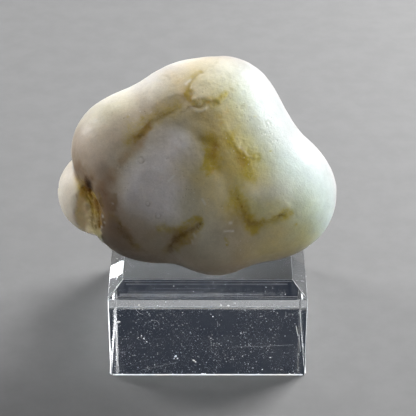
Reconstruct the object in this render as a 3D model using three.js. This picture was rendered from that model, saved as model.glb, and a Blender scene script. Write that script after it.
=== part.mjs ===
// A waterworn lump of milky quartz resting on a solid clear display block with bevelled upper edges.
// Millimetres, +Z up. The origin is the middle of the block's underside, and the broad face of the
// stone looks along -Y and up.

import * as THREE from 'three';
import { mergeVertices } from 'three/addons/utils/BufferGeometryUtils.js';

// Display block: a square prism whose four upper edges are cut at 45 degrees.
const BLOCK_SIDE = 50;
const BLOCK_HEIGHT = 27.5;
const BLOCK_BEVEL = 3.65;

// Stone: where it rests, and how far its broad face leans back from upright.
const REST_GAP = 0.3;
const LEAN_DEG = 32;
const STONE_OFFSET_X = -1.9;
const STONE_OFFSET_Y = -7.6;

// The distance from the stone's middle down to the worn flat that it rests on.
const FOOT_DEPTH = 23.6;

// Each edge of the starting icosahedron is split into this many pieces plus one.
const STONE_DETAIL = 18;

// The swellings of the stone's main body, as ellipsoids [centre, radii] in the stone's own frame:
// x to the right, y up the broad face and z out of it.
const BODY_LOBES = {
  core: [[1, 0, -1], [23, 22, 20]],
  rightEnd: [[19, -6, -1], [15, 14.8, 15]],
  crown: [[6.3, 12.6, -1], [13.5, 15.4, 15]],
  rightFlank: [[12, 4, -1], [12.3, 11.5, 15]],
  crownLeft: [[-3, 12.3, -1], [13, 14.4, 15]],
  saddle: [[-11, 8, -1], [13, 13, 14]],
  leftShoulder: [[-18.8, 4.6, 1], [13.1, 13.4, 14]],
  faceBulge: [[-11, -2, 3], [14, 15, 15]],
  lowerLeft: [[-14.5, -9.5, -1], [12.9, 12.8, 14]],
  chin: [[4, -13, 1], [12, 13, 14]],
  lowerRight: [[15, -9, -2], [13.2, 13, 14]],
  heel: [[2, -9, -8], [16, 13, 15]],
};

// The smaller lobe grown onto the left side, set back behind the main body's edge.
const SIDE_LOBE = [[-24.4, -5.6, -7], [11.7, 11.2, 12]];

// How tightly neighbouring shapes meet, per millimetre: a large number makes a sharper crease.
const BODY_BLEND = 0.45;
const CREASE_BLEND = 2;
const FOOT_BLEND = 1.2;

// An ellipsoid's edge is softened over about this share of its radius.
const GRAZE_SOFTENING = 0.12;

// The foot only limits directions that point at least this much downwards.
const FOOT_MIN_COSINE = 0.2;

// The broken face on the side lobe is the plane z = level + acrossSlope * (x - x0) + upSlope * (y - y0).
const BREAK_FACE = { x0: -31, y0: -6, level: 3, acrossSlope: -0.1, upSlope: 0.25 };

// Hollows worn along lines down the broad face: points [x, y], depth and half-width.
const HOLLOWS = [
  { line: [[0, 14.5], [1, 8.5], [3, 3], [5, -4], [8.7, -8.5], [10.6, -12.5]], depth: 0.9, width: 3.6 },
  { line: [[-17, 7], [-13.5, 9.5], [-9, 12], [-5, 15], [-1.6, 16], [5.3, 16]], depth: 0.5, width: 1.8 },
  { line: [[8.7, -5.6], [9.6, -9.5], [12.3, -13.4], [17.5, -12], [22.3, -10.2]], depth: 0.6, width: 1.8 },
  { line: [[0.6, -13.2], [-3.3, -16], [-7.3, -19.5]], depth: 0.6, width: 1.8 },
];

// The hollows fade out over this height as the face turns away at the stone's rim.
const FACE_FADE = 8;

const BLOCK_MATERIAL = new THREE.MeshStandardMaterial({ color: 0xe9eef2, roughness: 0.05, metalness: 0 });
const QUARTZ_MATERIAL = new THREE.MeshStandardMaterial({ color: 0xd3d0c2, roughness: 0.5, metalness: 0 });

// A closed, indexed copy of a geometry, with shared corners merged.
function closed(geometry) {
  geometry.deleteAttribute('normal');
  geometry.deleteAttribute('uv');
  const merged = mergeVertices(geometry);
  merged.computeVertexNormals();
  return merged;
}

// A four-sided turning of half the block's section, stood on its square base.
function displayBlock() {
  const toCorner = Math.SQRT2;
  const half = BLOCK_SIDE / 2;
  const section = [
    new THREE.Vector2(0, 0),
    new THREE.Vector2(half * toCorner, 0),
    new THREE.Vector2(half * toCorner, BLOCK_HEIGHT - BLOCK_BEVEL),
    new THREE.Vector2((half - BLOCK_BEVEL) * toCorner, BLOCK_HEIGHT),
    new THREE.Vector2(0, BLOCK_HEIGHT),
  ];
  const turned = new THREE.LatheGeometry(section, 4, Math.PI / 4);
  turned.rotateX(Math.PI / 2);
  const mesh = new THREE.Mesh(closed(turned), BLOCK_MATERIAL);
  mesh.name = 'display_block';
  return mesh;
}

// How far a ray from the stone's middle along a unit direction travels to leave an ellipsoid.
// A ray that misses it stops near its closest point, so that the reach stays smooth.
function ellipsoidReach(direction, [centre, radii]) {
  let slant = 0;
  let towards = 0;
  let offset = 0;
  for (let k = 0; k < 3; k += 1) {
    const step = direction.getComponent(k) / radii[k];
    const start = centre[k] / radii[k];
    slant += step * step;
    towards += step * start;
    offset += start * start;
  }
  const inside = (towards * towards) / slant - (offset - 1);
  const softened = (inside + Math.hypot(inside, GRAZE_SOFTENING)) / 2;
  return (towards + Math.sqrt(slant * softened)) / slant;
}

// The largest of several distances, rounded over where they are nearly equal.
function smoothLargest(distances, blend) {
  const largest = Math.max(...distances);
  const sum = distances.reduce((total, d) => total + Math.exp(blend * (d - largest)), 0);
  return largest + Math.log(sum) / blend;
}

// How far along a direction the worn flat underneath cuts the stone off, if it does.
function footReach(direction, uncut) {
  const lean = THREE.MathUtils.degToRad(LEAN_DEG);
  const downwards = -direction.y * Math.cos(lean) - direction.z * Math.sin(lean);
  if (downwards <= FOOT_MIN_COSINE) {
    return uncut;
  }
  return -smoothLargest([-uncut, -FOOT_DEPTH / downwards], FOOT_BLEND);
}

// The distance from a point to a line of straight stretches, in the plane of the broad face.
function distanceToLine(x, y, line) {
  let nearest = Infinity;
  for (let i = 1; i < line.length; i += 1) {
    const [x0, y0] = line[i - 1];
    const dx = line[i][0] - x0;
    const dy = line[i][1] - y0;
    const along = ((x - x0) * dx + (y - y0) * dy) / (dx * dx + dy * dy);
    const t = THREE.MathUtils.clamp(along, 0, 1);
    nearest = Math.min(nearest, Math.hypot(x - x0 - t * dx, y - y0 - t * dy));
  }
  return nearest;
}

// The depth of all hollows together at a point of the broad face.
function hollowDepth(x, y) {
  return HOLLOWS.reduce((total, { line, depth, width }) => {
    const distance = distanceToLine(x, y, line);
    return total + depth * Math.exp(-((distance / width) ** 2));
  }, 0);
}

// The point of the stone's surface in a unit direction from its middle: the farthest swelling,
// cut by the foot, then carved straight into the broad face by the break and the hollows.
function stonePoint(direction) {
  const lobes = Object.values(BODY_LOBES).map((lobe) => ellipsoidReach(direction, lobe));
  const body = smoothLargest(lobes, BODY_BLEND);
  const side = ellipsoidReach(direction, SIDE_LOBE);
  const whole = smoothLargest([body, side], CREASE_BLEND);
  const point = direction.clone().multiplyScalar(footReach(direction, whole));

  const onSideLobe = 1 / (1 + Math.exp(-2 * CREASE_BLEND * (side - body)));
  const { x0, y0, level, acrossSlope, upSlope } = BREAK_FACE;
  const breakLevel = level + acrossSlope * (point.x - x0) + upSlope * (point.y - y0);
  point.z -= onSideLobe * Math.max(0, point.z - breakLevel);

  const onFace = THREE.MathUtils.smoothstep(point.z, 0, FACE_FADE);
  point.z -= onFace * hollowDepth(point.x, point.y);
  return point;
}

// The stone: an evenly divided icosahedron whose corners are moved out to the surface.
function quartzStone() {
  const geometry = closed(new THREE.IcosahedronGeometry(1, STONE_DETAIL));
  const position = geometry.getAttribute('position');
  const corner = new THREE.Vector3();
  for (let i = 0; i < position.count; i += 1) {
    corner.fromBufferAttribute(position, i).normalize();
    position.setXYZ(i, ...stonePoint(corner));
  }
  geometry.computeVertexNormals();
  const mesh = new THREE.Mesh(geometry, QUARTZ_MATERIAL);
  mesh.name = 'quartz_stone';
  mesh.rotation.x = THREE.MathUtils.degToRad(90 - LEAN_DEG);
  mesh.position.set(STONE_OFFSET_X, STONE_OFFSET_Y, BLOCK_HEIGHT + REST_GAP + FOOT_DEPTH);
  return mesh;
}

const part = new THREE.Group();
part.add(displayBlock(), quartzStone());

export default part;
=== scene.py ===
"""A waterworn lump of milky quartz resting on a solid clear display block with bevelled edges.

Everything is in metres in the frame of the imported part: +Z up, the origin in the middle of the
block's underside, and the stone's broad face towards -Y. The stone is worked out in millimetres in
a frame of its own: x to the right, y up its broad face and z out of it.
"""
import itertools
import math

import bpy
import numpy as np
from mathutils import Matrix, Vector


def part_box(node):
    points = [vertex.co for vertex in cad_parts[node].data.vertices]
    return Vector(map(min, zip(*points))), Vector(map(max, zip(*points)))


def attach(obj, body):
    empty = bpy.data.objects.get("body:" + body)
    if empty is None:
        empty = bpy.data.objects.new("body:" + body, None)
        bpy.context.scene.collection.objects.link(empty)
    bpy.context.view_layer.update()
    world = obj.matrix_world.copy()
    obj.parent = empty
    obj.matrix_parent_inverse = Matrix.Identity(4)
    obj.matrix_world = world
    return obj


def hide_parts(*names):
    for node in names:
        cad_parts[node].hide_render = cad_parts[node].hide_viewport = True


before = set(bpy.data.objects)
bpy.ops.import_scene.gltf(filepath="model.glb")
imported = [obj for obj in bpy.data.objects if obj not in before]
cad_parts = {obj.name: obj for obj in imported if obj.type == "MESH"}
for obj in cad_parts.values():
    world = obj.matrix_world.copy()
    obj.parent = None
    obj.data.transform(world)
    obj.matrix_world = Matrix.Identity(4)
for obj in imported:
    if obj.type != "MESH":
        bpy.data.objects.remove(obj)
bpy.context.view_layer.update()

MM = 0.001

# ---------------------------------------------------------------------------------------------
# The stone's main shape (millimetres, in the stone's own frame).

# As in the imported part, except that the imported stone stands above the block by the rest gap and
# this one, its foot that much deeper, by the contact gap only.
LEAN = math.radians(32)
FOOT_DEPTH = 23.6
REST_GAP = 0.3
CONTACT_GAP = 0.02
STONE_OFFSET = (-1.9, -7.6)

BODY_LOBES = {
    "core": ((1, 0, -1), (23, 22, 20)),
    "right end": ((19, -6, -1), (15, 14.8, 15)),
    "crown": ((6.3, 12.6, -1), (13.5, 15.4, 15)),
    "right flank": ((12, 4, -1), (12.3, 11.5, 15)),
    "crown left": ((-3, 12.3, -1), (13, 14.4, 15)),
    "saddle": ((-11, 8, -1), (13, 13, 14)),
    "left shoulder": ((-18.8, 4.6, 1), (13.1, 13.4, 14)),
    "face bulge": ((-11, -2, 3), (14, 15, 15)),
    "lower left": ((-14.5, -9.5, -1), (12.9, 12.8, 14)),
    "chin": ((4, -13, 1), (12, 13, 14)),
    "lower right": ((15, -9, -2), (13.2, 13, 14)),
    "heel": ((2, -9, -8), (16, 13, 15)),
}
SIDE_LOBE = ((-24.4, -5.6, -7), (11.7, 11.2, 12))
BODY_BLEND = 0.45
CREASE_BLEND = 2
FOOT_BLEND = 1.2
GRAZE_SOFTENING = 0.12
FOOT_MIN_COSINE = 0.2

# How far short of the cut, and how far past it, a point starts and ends being on the worn foot.
FOOT_EDGE = (-0.5, 0.5)

# Ripples all over the stone and round its rim, each as a noise's height, cell, seed and count of
# layers. The first two come in between these depths on either side of the stone's middle.
BROAD_RIPPLE = (0.14, 7.5, 51, 2)
FINE_RIPPLE = (0.02, 1.6, 61, 3)
SIDE_RIPPLE = (0.08, 4, 81, 3)
RIPPLE_DEPTHS = (0, 5)

# The broken face on the side lobe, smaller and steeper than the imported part's: a point it passes
# through, its slopes across and up, the depths between which it starts, its outline, the noise that
# makes that ragged, how wide its edge is, how wide and strong the stained line along that is, and
# how far the face is sunk.
BREAK_POINT = (-31, -6, 3)
BREAK_SLOPES = (0.6, 0.4)
BREAK_DEPTHS = (-5, -3)
BREAK_OUTLINE = [
    (-29.2, -4.2), (-30.5, -7.5), (-31.1, -10.9), (-30.8, -14), (-29, -17.5), (-24.4, -19),
    (-24.3, -14), (-24.1, -11), (-24.8, -8), (-26.6, -5),
]
BREAK_RAGGEDNESS = (0.3, 1.5, 91, 3)
BREAK_EDGE = (-0.1, 0.35)
BREAK_LINE_WIDTH = 0.3
BREAK_LINE_STRENGTH = 0.35
BREAK_SINK = 0.35

# Across the side lobe: where the break is filled up to its plane, how far it rises towards the
# body and where, and the raised brim to the left of it.
BREAK_FILL_SPAN = (-29.5, -27.5)
BREAK_RISE = 3
BREAK_RISE_SPAN = (-30, -23.6)
BREAK_BRIM = 0.45
BREAK_BRIM_REACH = 3.0
BREAK_BRIM_SPAN = (27, 29.5)
BREAK_BRIM_DEPTHS = (-5, -1)

# Flat chips: how high they stand in the break and in the crust, where in the break they end, and
# the height, cell and seed of each layer.
BREAK_CHIPS = 0.35
BREAK_CHIPS_END = (-28, -24)
CRUST_CHIPS = 0.2
CHIP_LAYERS = [(1, 1.3, 71), (0.5, 0.7, 72)]

# The edge of the body that stands over the break, with the break on its left, how wide its foot
# is, and the x past which the body has no such edge.
BODY_EDGE = [
    (-22, -21), (-24.5, -16.7), (-24.8, -13.7), (-24.1, -11.3), (-24.9, -8.3), (-26.9, -5.4),
    (-29.6, -3.4), (-31.9, -0.4), (-33, 2),
]
BODY_EDGE_WIDTH = 0.6
BODY_EDGE_END = -20

# Swellings and nicks of the stone's outline: the way they lie from its middle, their half-width as
# an angle in radians, and how far they stand out.
OUTLINE_BUMPS = [
    ((-9, -21.5, 1), 0.2, 1.1),
    ((24.2, 9.6, -2), 0.05, -0.5),
    ((3.7, 27.8, 0), 0.03, -0.4),
]

# Steps along each edge of the cube that the stone's grid is folded from.
STONE_STEPS = 122

# ---------------------------------------------------------------------------------------------
# Relief worn into the stone. Every line below is a row of points (x, y) that a smooth curve
# passes through.

# How the lines of ledges and of stains wander: each noise's height, cell, seed and layers. Also
# how unevenly a ledge is worn, and how strong those of the broad face are.
LEDGE_WANDER = [(0.4, 2.4, 11, 3), (0.2, 0.6, 12, 1)]
STAIN_WANDER = [(0.6, 3, 13, 3), (0.35, 0.9, 14, 1)]
LEDGE_WEAR = (0.45, 3.1, 31, 1)
FACE_LEDGE_STRENGTH = 0.75

# A ledge's taper as a share of its length, its groove's depth at the ends as a share of the whole,
# and the step from its line up to its lip.
LEDGE_TAPER = 0.15
LEDGE_END_DEPTH = 0.3
LEDGE_STEP = (-0.25, 0.35)

# Ledges: a groove along the line with its depth and half-width, and a lip on the left of the
# line's direction with its height and how far it reaches. A groove less than 0 deep is a ridge.
FACE_LEDGES = {
    "shoulder": dict(
        line=[(-18.8, 5.6), (-17.2, 6.9), (-14.6, 7.6), (-13.2, 9.5), (-11.8, 10.9), (-9, 12.2),
              (-7, 13.2), (-5, 15.2), (-3.2, 16.4), (-1.6, 16)],
        depth=0.1, width=1.2, lip=0.12, reach=7),
    "crown edge": dict(
        line=[(4.8, 29), (3.6, 25.6), (0.1, 23), (-1.9, 21.3), (-2.1, 20), (-1.3, 18), (-1.9, 16.4),
              (-1, 14.6)],
        depth=0.12, width=0.7, lip=0.65, reach=4.5),
    "crown rim": dict(
        line=[(3.6, 25.4), (0.6, 23), (-1.3, 21.3), (-1.5, 19.8), (-0.8, 18)],
        depth=-0.12, width=0.4, lip=0.0, reach=1),
    "crown foot": dict(
        line=[(-2.4, 16.8), (-0.4, 15.2), (1.9, 16.2), (5.6, 16), (7, 18.3), (7.4, 20)],
        depth=0.08, width=0.6, lip=0.3, reach=4.5),
    "right flank": dict(
        line=[(5.4, 12), (6.7, 8.7), (8.6, 5.9), (10.5, 4), (12.2, 1.2), (13.4, -1.5)],
        depth=-0.08, width=0.7, lip=0.0, reach=1),
    "corner side": dict(
        line=[(8.2, -4), (9.3, -6.7), (10.1, -9.7), (11.2, -12.2), (12, -14)],
        depth=0.1, width=2, lip=0.1, reach=6),
    "corner foot": dict(
        line=[(10.8, -14.2), (12.4, -13.7), (14.1, -13.4), (15.7, -12.9), (17.5, -12.2), (19.4, -11.3),
              (21.2, -10.8), (23.5, -9.6)],
        depth=0.5, width=1.1, lip=0.5, reach=6),
    "chin": dict(
        line=[(-1.6, -11.7), (0.5, -13.2), (-0.8, -14.8), (-2.4, -15.4), (-4.8, -16.4), (-6.5, -18.2),
              (-8.6, -20)],
        depth=0.5, width=1.3, lip=0.35, reach=5),
    "chin rim": dict(
        line=[(1.2, -13.2), (0.5, -14.6), (-1, -16), (-1.8, -18.1), (-3.3, -18.9)],
        depth=-0.25, width=0.45, lip=0.0, reach=1),
    "chin branch": dict(
        line=[(-9.8, -14.1), (-7.4, -14.3), (-5, -15.2), (-3.3, -16)],
        depth=0.4, width=0.8, lip=0.0, reach=3),
    "lower left": dict(
        line=[(-20.5, -13), (-18.6, -15.7), (-16.6, -18), (-14.8, -18.8)],
        depth=0.35, width=1.1, lip=0.3, reach=4),
    "white lip": dict(
        line=[(-2.2, 15), (-0.2, 13.9), (1.9, 14.9)],
        depth=-0.26, width=0.5, lip=0.0, reach=1),
    "brow": dict(
        line=[(-12.5, 13.6), (-9.5, 16), (-6.6, 17.4), (-4.2, 17.7), (-2.2, 16.8)],
        depth=0, width=0.7, lip=0.14, reach=4),
    "valley": dict(
        line=[(0.5, 14), (1.4, 8.5), (3.4, 3), (5.6, -4), (8.6, -8.5), (10.6, -12.5)],
        depth=0.5, width=3.4, lip=0.0, reach=1),
}
BACK_SEAM = [(-24, 7), (-15, 2.5), (-7, 5), (1, 1), (8, 3.5), (17, -1)]
BACK_CROWN = [(2, 22), (6, 14), (13, 11), (17, 6)]
BACK_LEDGES = {
    "back seam": dict(
        line=BACK_SEAM,
        depth=0.5, width=0.8, lip=0.6, reach=6),
    "back fork": dict(
        line=[(-7, 5), (-6, -3), (-9, -10), (-6, -15)],
        depth=0.4, width=0.7, lip=0.4, reach=5),
    "back crown": dict(
        line=BACK_CROWN,
        depth=0.35, width=0.7, lip=0.45, reach=5),
}

# Swellings and hollows of each side: centre, half-widths, turn in degrees and height.
FACE_SWELLS = [
    ((-9, 4.5), (8, 6), 0, -0.8),
    ((16.4, -6.5), (6.5, 5.5), 10, 0.55),
    ((3, 19.5), (5, 3.5), 20, 0.4),
    ((3, -9), (4.5, 3.5), -20, 0.35),
]
BACK_SWELLS = [
    ((-9, -8), (6, 4.5), 30, -0.8),
    ((9, 9), (6, 4.5), -25, -0.8),
    ((17, -5), (4.5, 6), 10, -0.5),
    ((-14, 8), (6, 4), 15, 0.5),
    ((3, -7), (5, 7), -10, 0.5),
]

# The pale oval that stands out of the broad face: its outline, height, and how far inside its
# outline it starts to stand out, or to look pale, and does so fully.
OVAL = [
    (-12, 10.7), (-7.2, 10.4), (-2.3, 8.6), (-0.3, 6), (0.2, 2.7), (-0.7, -1.1), (-2.8, -4.9),
    (-4.6, -8.8), (-4.4, -12), (-8.6, -13.8), (-14.4, -12.6), (-19, -9.2), (-19.6, -5), (-17.9, 0.6),
    (-15.3, 6.1),
]
OVAL_HEIGHT = 0.5
OVAL_RIM = (-0.8, 5)
OVAL_TINT_RIM = (-1.5, 3.5)

# Small worn pits: centre, and radius of the ring, or 0 for a plain dot. Also their depth, the
# half-width of a ring's line, and how much of the ledges' wandering they share.
PITS = [
    ((-12.6, -8.4), 0.6), ((-10, -11.5), 0.65), ((-14.1, 2), 0.75), ((16.5, 10.9), 0.6),
    ((10.1, 14.8), 0.4), ((9.9, 12.8), 0), ((16.9, 6.4), 0), ((18.5, 6.8), 0), ((15.6, 8.8), 0),
    ((17.4, 5.9), 0), ((18.3, -9.1), 0), ((-4, -1.9), 0), ((-7.8, 2.2), 0), ((-10.6, -4.9), 0),
    ((29, -6.7), 0), ((21, -7.3), 0), ((12.3, -1.7), 0),
]
PIT_DEPTH = 0.1
PIT_WIDTH = 0.24
PIT_WANDER = 0.4

# Places on the broad face with a rough, scaly crust: line, half-width and strength.
ROUGH_PATCHES = [
    ([(3.5, 16.4), (6.6, 17.2), (7.4, 19)], 1.1, 0.6),
    ([(-8, 23), (-5.5, 21.5)], 1.6, 0.6),
    ([(9, 5.5), (12, 3.5), (13.5, 2)], 1.8, 0.6),
    ([(-1.5, -16.5), (-3.6, -18)], 1.2, 0.7),
    ([(-6, 13.6), (-13, 11.4)], 1.2, 0.5),
    ([(9, -6), (11, -11)], 1.3, 0.5),
]

# Healed cracks that run round the stone behind its broad face: the direction each plane faces,
# its distance from the stone's middle, and how deep and wide its groove is. Also the depths
# behind the face between which they start, the noise that bends them and how strongly each is
# stained.
SEAMS = [
    ((0.82, 0.25, 0.5), 9, 0.3, 0.45),
    ((-0.3, 0.9, 0.3), 4, 0.25, 0.5),
    ((0.9, -0.4, -0.2), -12, 0.25, 0.4),
]
SEAM_DEPTHS = (0, 6)
SEAM_BEND = (1.6, 7, 41, 3)
SEAM_STAIN = 0.5

# How far forward, z, a point has to be to belong to the broad face, with its relief or with its
# tints. How far back, -z, to belong to the back, or to the rim and all that lies behind it.
FACE_DEPTHS = (0, 8)
TINT_DEPTHS = (-2, 5)
BACK_DEPTHS = (2, 9)
RIM_DEPTHS = (-7, -1)

# The depths z at which the stone's dark marks and its painted shade come in and its painted rim light goes.
# On the underside, a point counts as farther forward by this much for every millimetre it lies lower.
DARK_DEPTHS = (0, 8)
PAINTED_SHADE_DEPTHS = (-6, 1)
RIM_LIGHT_DEPTHS = (-3, 6)
UNDERSIDE_TOP = -8
DARK_UNDERSIDE = 0.7
PAINTED_SHADE_UNDERSIDE = 0.5

# The depths -z at which the body and the side lobe take on the back's darker colour: painted shade, which
# darkens the back so that the key lamp behind it does not wash it out.
BACK_SHADE_DEPTHS = (-3, 4)
SIDE_LOBE_SHADE_DEPTHS = (5, 11)

# ---------------------------------------------------------------------------------------------
# Stains, tints, painted shade and painted glints on the broad face: line, half-width and strength.

OCHRE = [
    ([(2.4, 6.6), (3.3, 3.5), (2.9, 1.0)], 2.2, 0.95),
    ([(1.6, 5), (1.6, -2)], 0.5, 0.6),
    ([(2, 1), (1.1, -0.8)], 1.0, 0.6),
    ([(1.2, 11), (3.2, 9), (4.4, 5)], 3.0, 0.1),
    ([(-17, 10.5), (-13, 12.5)], 3, 0.28),
    ([(-15.4, 7.1), (-14, 8.7), (-12.6, 10.3)], 0.9, 0.8),
    ([(6.6, 8), (8.1, 5.2), (10.1, 3), (11.2, -0.6), (12.7, -2)], 1.7, 0.6),
    ([(11.5, 2.6), (14.2, 2.2)], 1.2, 0.5),
    ([(7, -0.4), (8, -4.3), (7.8, -8.4), (8.2, -12)], 2.6, 0.25),
    ([(9, -5), (9.6, -6.7), (10.4, -9.7), (11.8, -12.2), (12.6, -14.8)], 1.9, 0.5),
    ([(12.6, -13.9), (15.7, -13), (21.5, -10.8)], 1.4, 0.65),
    ([(11.5, -12.5), (13.5, -14.5)], 1.5, 0.75),
    ([(7, -5.5), (8, -8), (8.4, -10.5)], 1.2, 0.3),
    ([(-2.6, 18.2), (-0.8, 16), (0.6, 15.6), (1.9, 16.4), (4.7, 16.4), (6.6, 18)], 1.1, 0.5),
    ([(0, 23.4), (-2.1, 21.8), (-2.8, 20), (-2.9, 18.4)], 0.9, 0.5),
    ([(-2.8, 18), (-2.1, 17)], 0.7, 0.6),
    ([(-17.5, 6.8), (-15.5, 8.8), (-12, 11.2), (-9, 12.6), (-5.5, 14.6)], 2.3, 0.4),
    ([(3.4, 14.6), (4.8, 12.8), (5.2, 10.6)], 1.2, 0.35),
    ([(5.9, -16.8), (6, -17)], 0.6, 0.55),
    ([(5.9, -18.1), (6, -18.2)], 0.45, 0.8),
    ([(23.5, -13.8), (23.6, -13.6)], 0.6, 0.5),
    ([(-17.4, 12.7), (-17.2, 12.7)], 0.4, 0.5),
    ([(-14.4, 12.7), (-14.2, 12.6)], 0.4, 0.5),
    ([(13.4, 12.6), (13.5, 12.6)], 0.35, 0.5),
    ([(17, 3.9), (17.1, 3.9)], 0.4, 0.6),
    ([(-21.4, -11.8), (-18.9, -15.2), (-16.8, -18), (-15, -19)], 1.7, 0.5),
    ([(-28.7, -5.3), (-27.2, -6.8), (-25.9, -8.8), (-25.6, -10.4)], 1.4, 0.85),
    ([(-25.6, -6.6), (-24.6, -8.6), (-24.3, -11), (-24.6, -14)], 0.9, 0.8),
    ([(-28, -3.6), (-26.8, -4.6), (-26.2, -6)], 1.0, 0.6),
    ([(-30.6, -2.4), (-28.6, -4.8), (-27, -7.5)], 1.6, 0.6),
    ([(-0.4, -12.4), (0.5, -13.3), (-2.1, -15.4), (-4.8, -16.5), (-8.5, -20)], 1.7, 0.4),
    ([(-9.6, -14.2), (-7.4, -14.3), (-4.4, -15.4)], 1.5, 0.5),
    ([(-3.6, -12.7), (-1.8, -12.1), (0.2, -12.6)], 0.8, 0.5),
    ([(-4.6, -14.4), (-2, -13.8)], 1.3, 0.4),
    ([(-3, -16.8), (-5.4, -19)], 1.3, 0.45),
]
UMBER = [
    ([(-14.8, 7.7), (-13.5, 9.3), (-11.8, 10.9), (-9.6, 11.9), (-7.6, 13)], 0.7, 0.3),
    ([(-14.6, 7.7), (-13.9, 8.2)], 0.5, 0.5),
    ([(8.6, -5.6), (9.6, -7.5)], 1.0, 0.2),
    ([(10.8, -11), (12.4, -14.8)], 1.0, 0.2),
    ([(12.2, -13.2), (15.7, -13), (18.8, -11.7)], 0.8, 0.4),
    ([(18.8, -11.6), (21.2, -10.7)], 0.4, 0.35),
    ([(0.5, -13.4), (-2, -15.1), (-4.7, -16.2), (-6.4, -17.5), (-7.4, -19.8)], 0.9, 0.5),
    ([(-20, -14), (-18.2, -16.2), (-16.6, -18)], 1.3, 0.5),
    ([(-4.6, 13.6), (-1, 15.1), (1.2, 14.9)], 0.35, 0.4),
    ([(-27.8, -2.2), (-26.9, -4.2)], 1.1, 0.7),
    ([(-29.3, -4.4), (-30.4, -7.5), (-31, -10.9), (-30.7, -14)], 0.35, 0.6),
    ([(-25.4, -7), (-24.5, -8.8), (-24.2, -11), (-24.4, -14.5)], 0.6, 0.45),
    ([(-1.3, 15.2), (-0.2, 14.8), (1.5, 15.6)], 0.7, 0.25),
    ([(-31.5, 0), (-29.4, -3.4), (-27.2, -5.4), (-25, -8), (-24.2, -12)], 0.5, 0.35),
    ([(9.4, -6.9), (9.5, -7)], 0.35, 0.4),
    ([(10, -9.2), (10.1, -9.1)], 0.4, 0.5),
    ([(-25.4, -8), (-24.9, -11.5), (-25, -14)], 0.9, 0.6),
    ([(-27.4, -8.4), (-27, -13.5)], 1.5, 0.45),
]
# The dark hole over the break is sunk as well as stained.
HOLE = ([(-27.1, -3.4), (-26.7, -5.4)], 0.65, 0.75)
HOLE_DEPTH = 1.2
# Dark marks: the dark hole and a few small spots, and broad bands along the bottom rim that are painted
# shade.
DARK = [
    HOLE,
    ([(19.2, -11.5), (20.2, -11.1)], 0.25, 0.4),
    ([(-31, 0.4), (-30, -2.4)], 0.35, 0.5),
    ([(-24.1, -6.4), (-23.8, -9.8)], 0.9, 0.2),
    ([(-29, -12), (-23, -17.6), (-15, -21.6), (-8, -23)], 2.6, 0.25),
    ([(-20, -21.5), (-14.5, -23), (-9.5, -23.6), (-5, -24.8), (1, -27)], 1.6, 0.75),
    ([(9, -27), (16, -26), (25, -23)], 3, 0.4),
    ([(-14, -23.8), (-6, -25.6)], 2.0, 0.5),
]
RUST = [
    ([(-24.2, -4), (-22, -8.4), (-20.8, -11.8), (-18, -15.5)], 2.6, 0.4),
    ([(-31, -1), (-29, -3.5)], 1.2, 0.8),
    ([(-26, 3), (-23, -2)], 3, 0.15),
    ([(-30.4, 0.4), (-28, -1.6), (-26.8, -4.4)], 1.8, 0.9),
    ([(-3.4, 18), (-2.2, 16.8)], 1.2, 0.2),
    ([(-28.6, -5.6), (-26.6, -7), (-25.8, -9.4)], 1.3, 0.5),
    ([(-5.8, 20.4), (-3, 17.6)], 2.4, 0.2),
    ([(-21, -2), (-17.5, 3.5), (-14, 7)], 2.2, 0.6),
    ([(-12, -16), (-6, -15.5), (-2, -18)], 2.5, 0.35),
    ([(3.3, 2.8), (3.9, 4.8)], 1.3, 0.7),
    ([(9.2, 4), (10, 1.6)], 1.6, 0.5),
    ([(9.8, -8.7), (11.6, -12.6), (13.4, -12.9)], 1.8, 0.5),
    ([(-15.4, 7.1), (-14, 8.7), (-12.6, 10.3)], 1.3, 0.8),
    ([(-1, -12.4), (-4, -16), (-8, -19.4)], 2, 0.4),
]
# Stains, and painted shade, that end sharply at an edge and fade away on the left of its line: the step
# over the line, the taper at its ends as a share of its length, and edges that have both a stain and shade.
EDGE_STEP = (-0.25, 0.25)
EDGE_TAPER = 0.12
SHOULDER_EDGE = [
    (-19.5, 4.5), (-17.2, 5.8), (-15, 7.2), (-13.4, 9.2), (-11.8, 10.8), (-9.2, 11.6), (-7.2, 12.8),
    (-5.6, 14.2), (-3, 14.6),
]
BROW_EDGE = [(-2.2, 16.8), (-4.2, 17.8), (-6.6, 17.4), (-9.5, 16), (-12.5, 13.4)]
OVAL_EDGE = [(-20, -10.6), (-19.9, -8), (-19.8, -5.6)]
EDGE_OCHRE = [
    (SHOULDER_EDGE, 3.0, 0.55),
    (BROW_EDGE, 2.6, 0.15),
    ([(-1.6, 15.8), (-2.5, 17.6), (-2.4, 19.6), (-1.6, 21.6), (0.4, 23.4)], 1.8, 0.45),
    ([(-2.6, 17.6), (-0.9, 14.9), (0.4, 14.4), (2.2, 15.6), (4.8, 15.4), (6.8, 17), (7.8, 20)], 1.5, 0.25),
    ([(13.6, -1.8), (12.2, 1.2), (10.5, 4), (8.8, 5.6), (7.7, 7.3)], 2.4, 0.5),
    ([(-5.9, -20), (-5, -18.4), (-3.5, -18.6), (-2, -18.1), (-1.2, -16), (0.3, -14.6), (1.1, -13.2),
      (-0.2, -11.4)], 2.4, 0.55),
    ([(22, -9.8), (19.2, -11.2), (17.7, -12), (15.5, -12.9), (13.6, -12.6), (11.2, -11.4)], 1.8, 0.6),
    (OVAL_EDGE, 2.8, 0.35),
]
# Painted shade that ends sharply at an edge: in the hollows beside the ledges and along the oval's edge.
EDGE_PAINTED_SHADE = [
    (SHOULDER_EDGE, 2.6, 0.06),
    (BROW_EDGE, 2.6, 0.2),
    ([(-1.6, 18), (-2.2, 19.8), (-1.7, 21.3), (0.2, 22.9), (1.6, 24)], 1.3, 0.5),
    (OVAL_EDGE, 2.6, 0.35),
]
EDGE_PAINTED_SHADE_STRENGTH = 0.6
BACK_OCHRE = [
    (BACK_SEAM, 1.5, 0.65),
    ([(-7, 5), (-6, -3), (-9, -10)], 1.3, 0.55),
    (BACK_CROWN, 1.4, 0.5),
]

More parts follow.
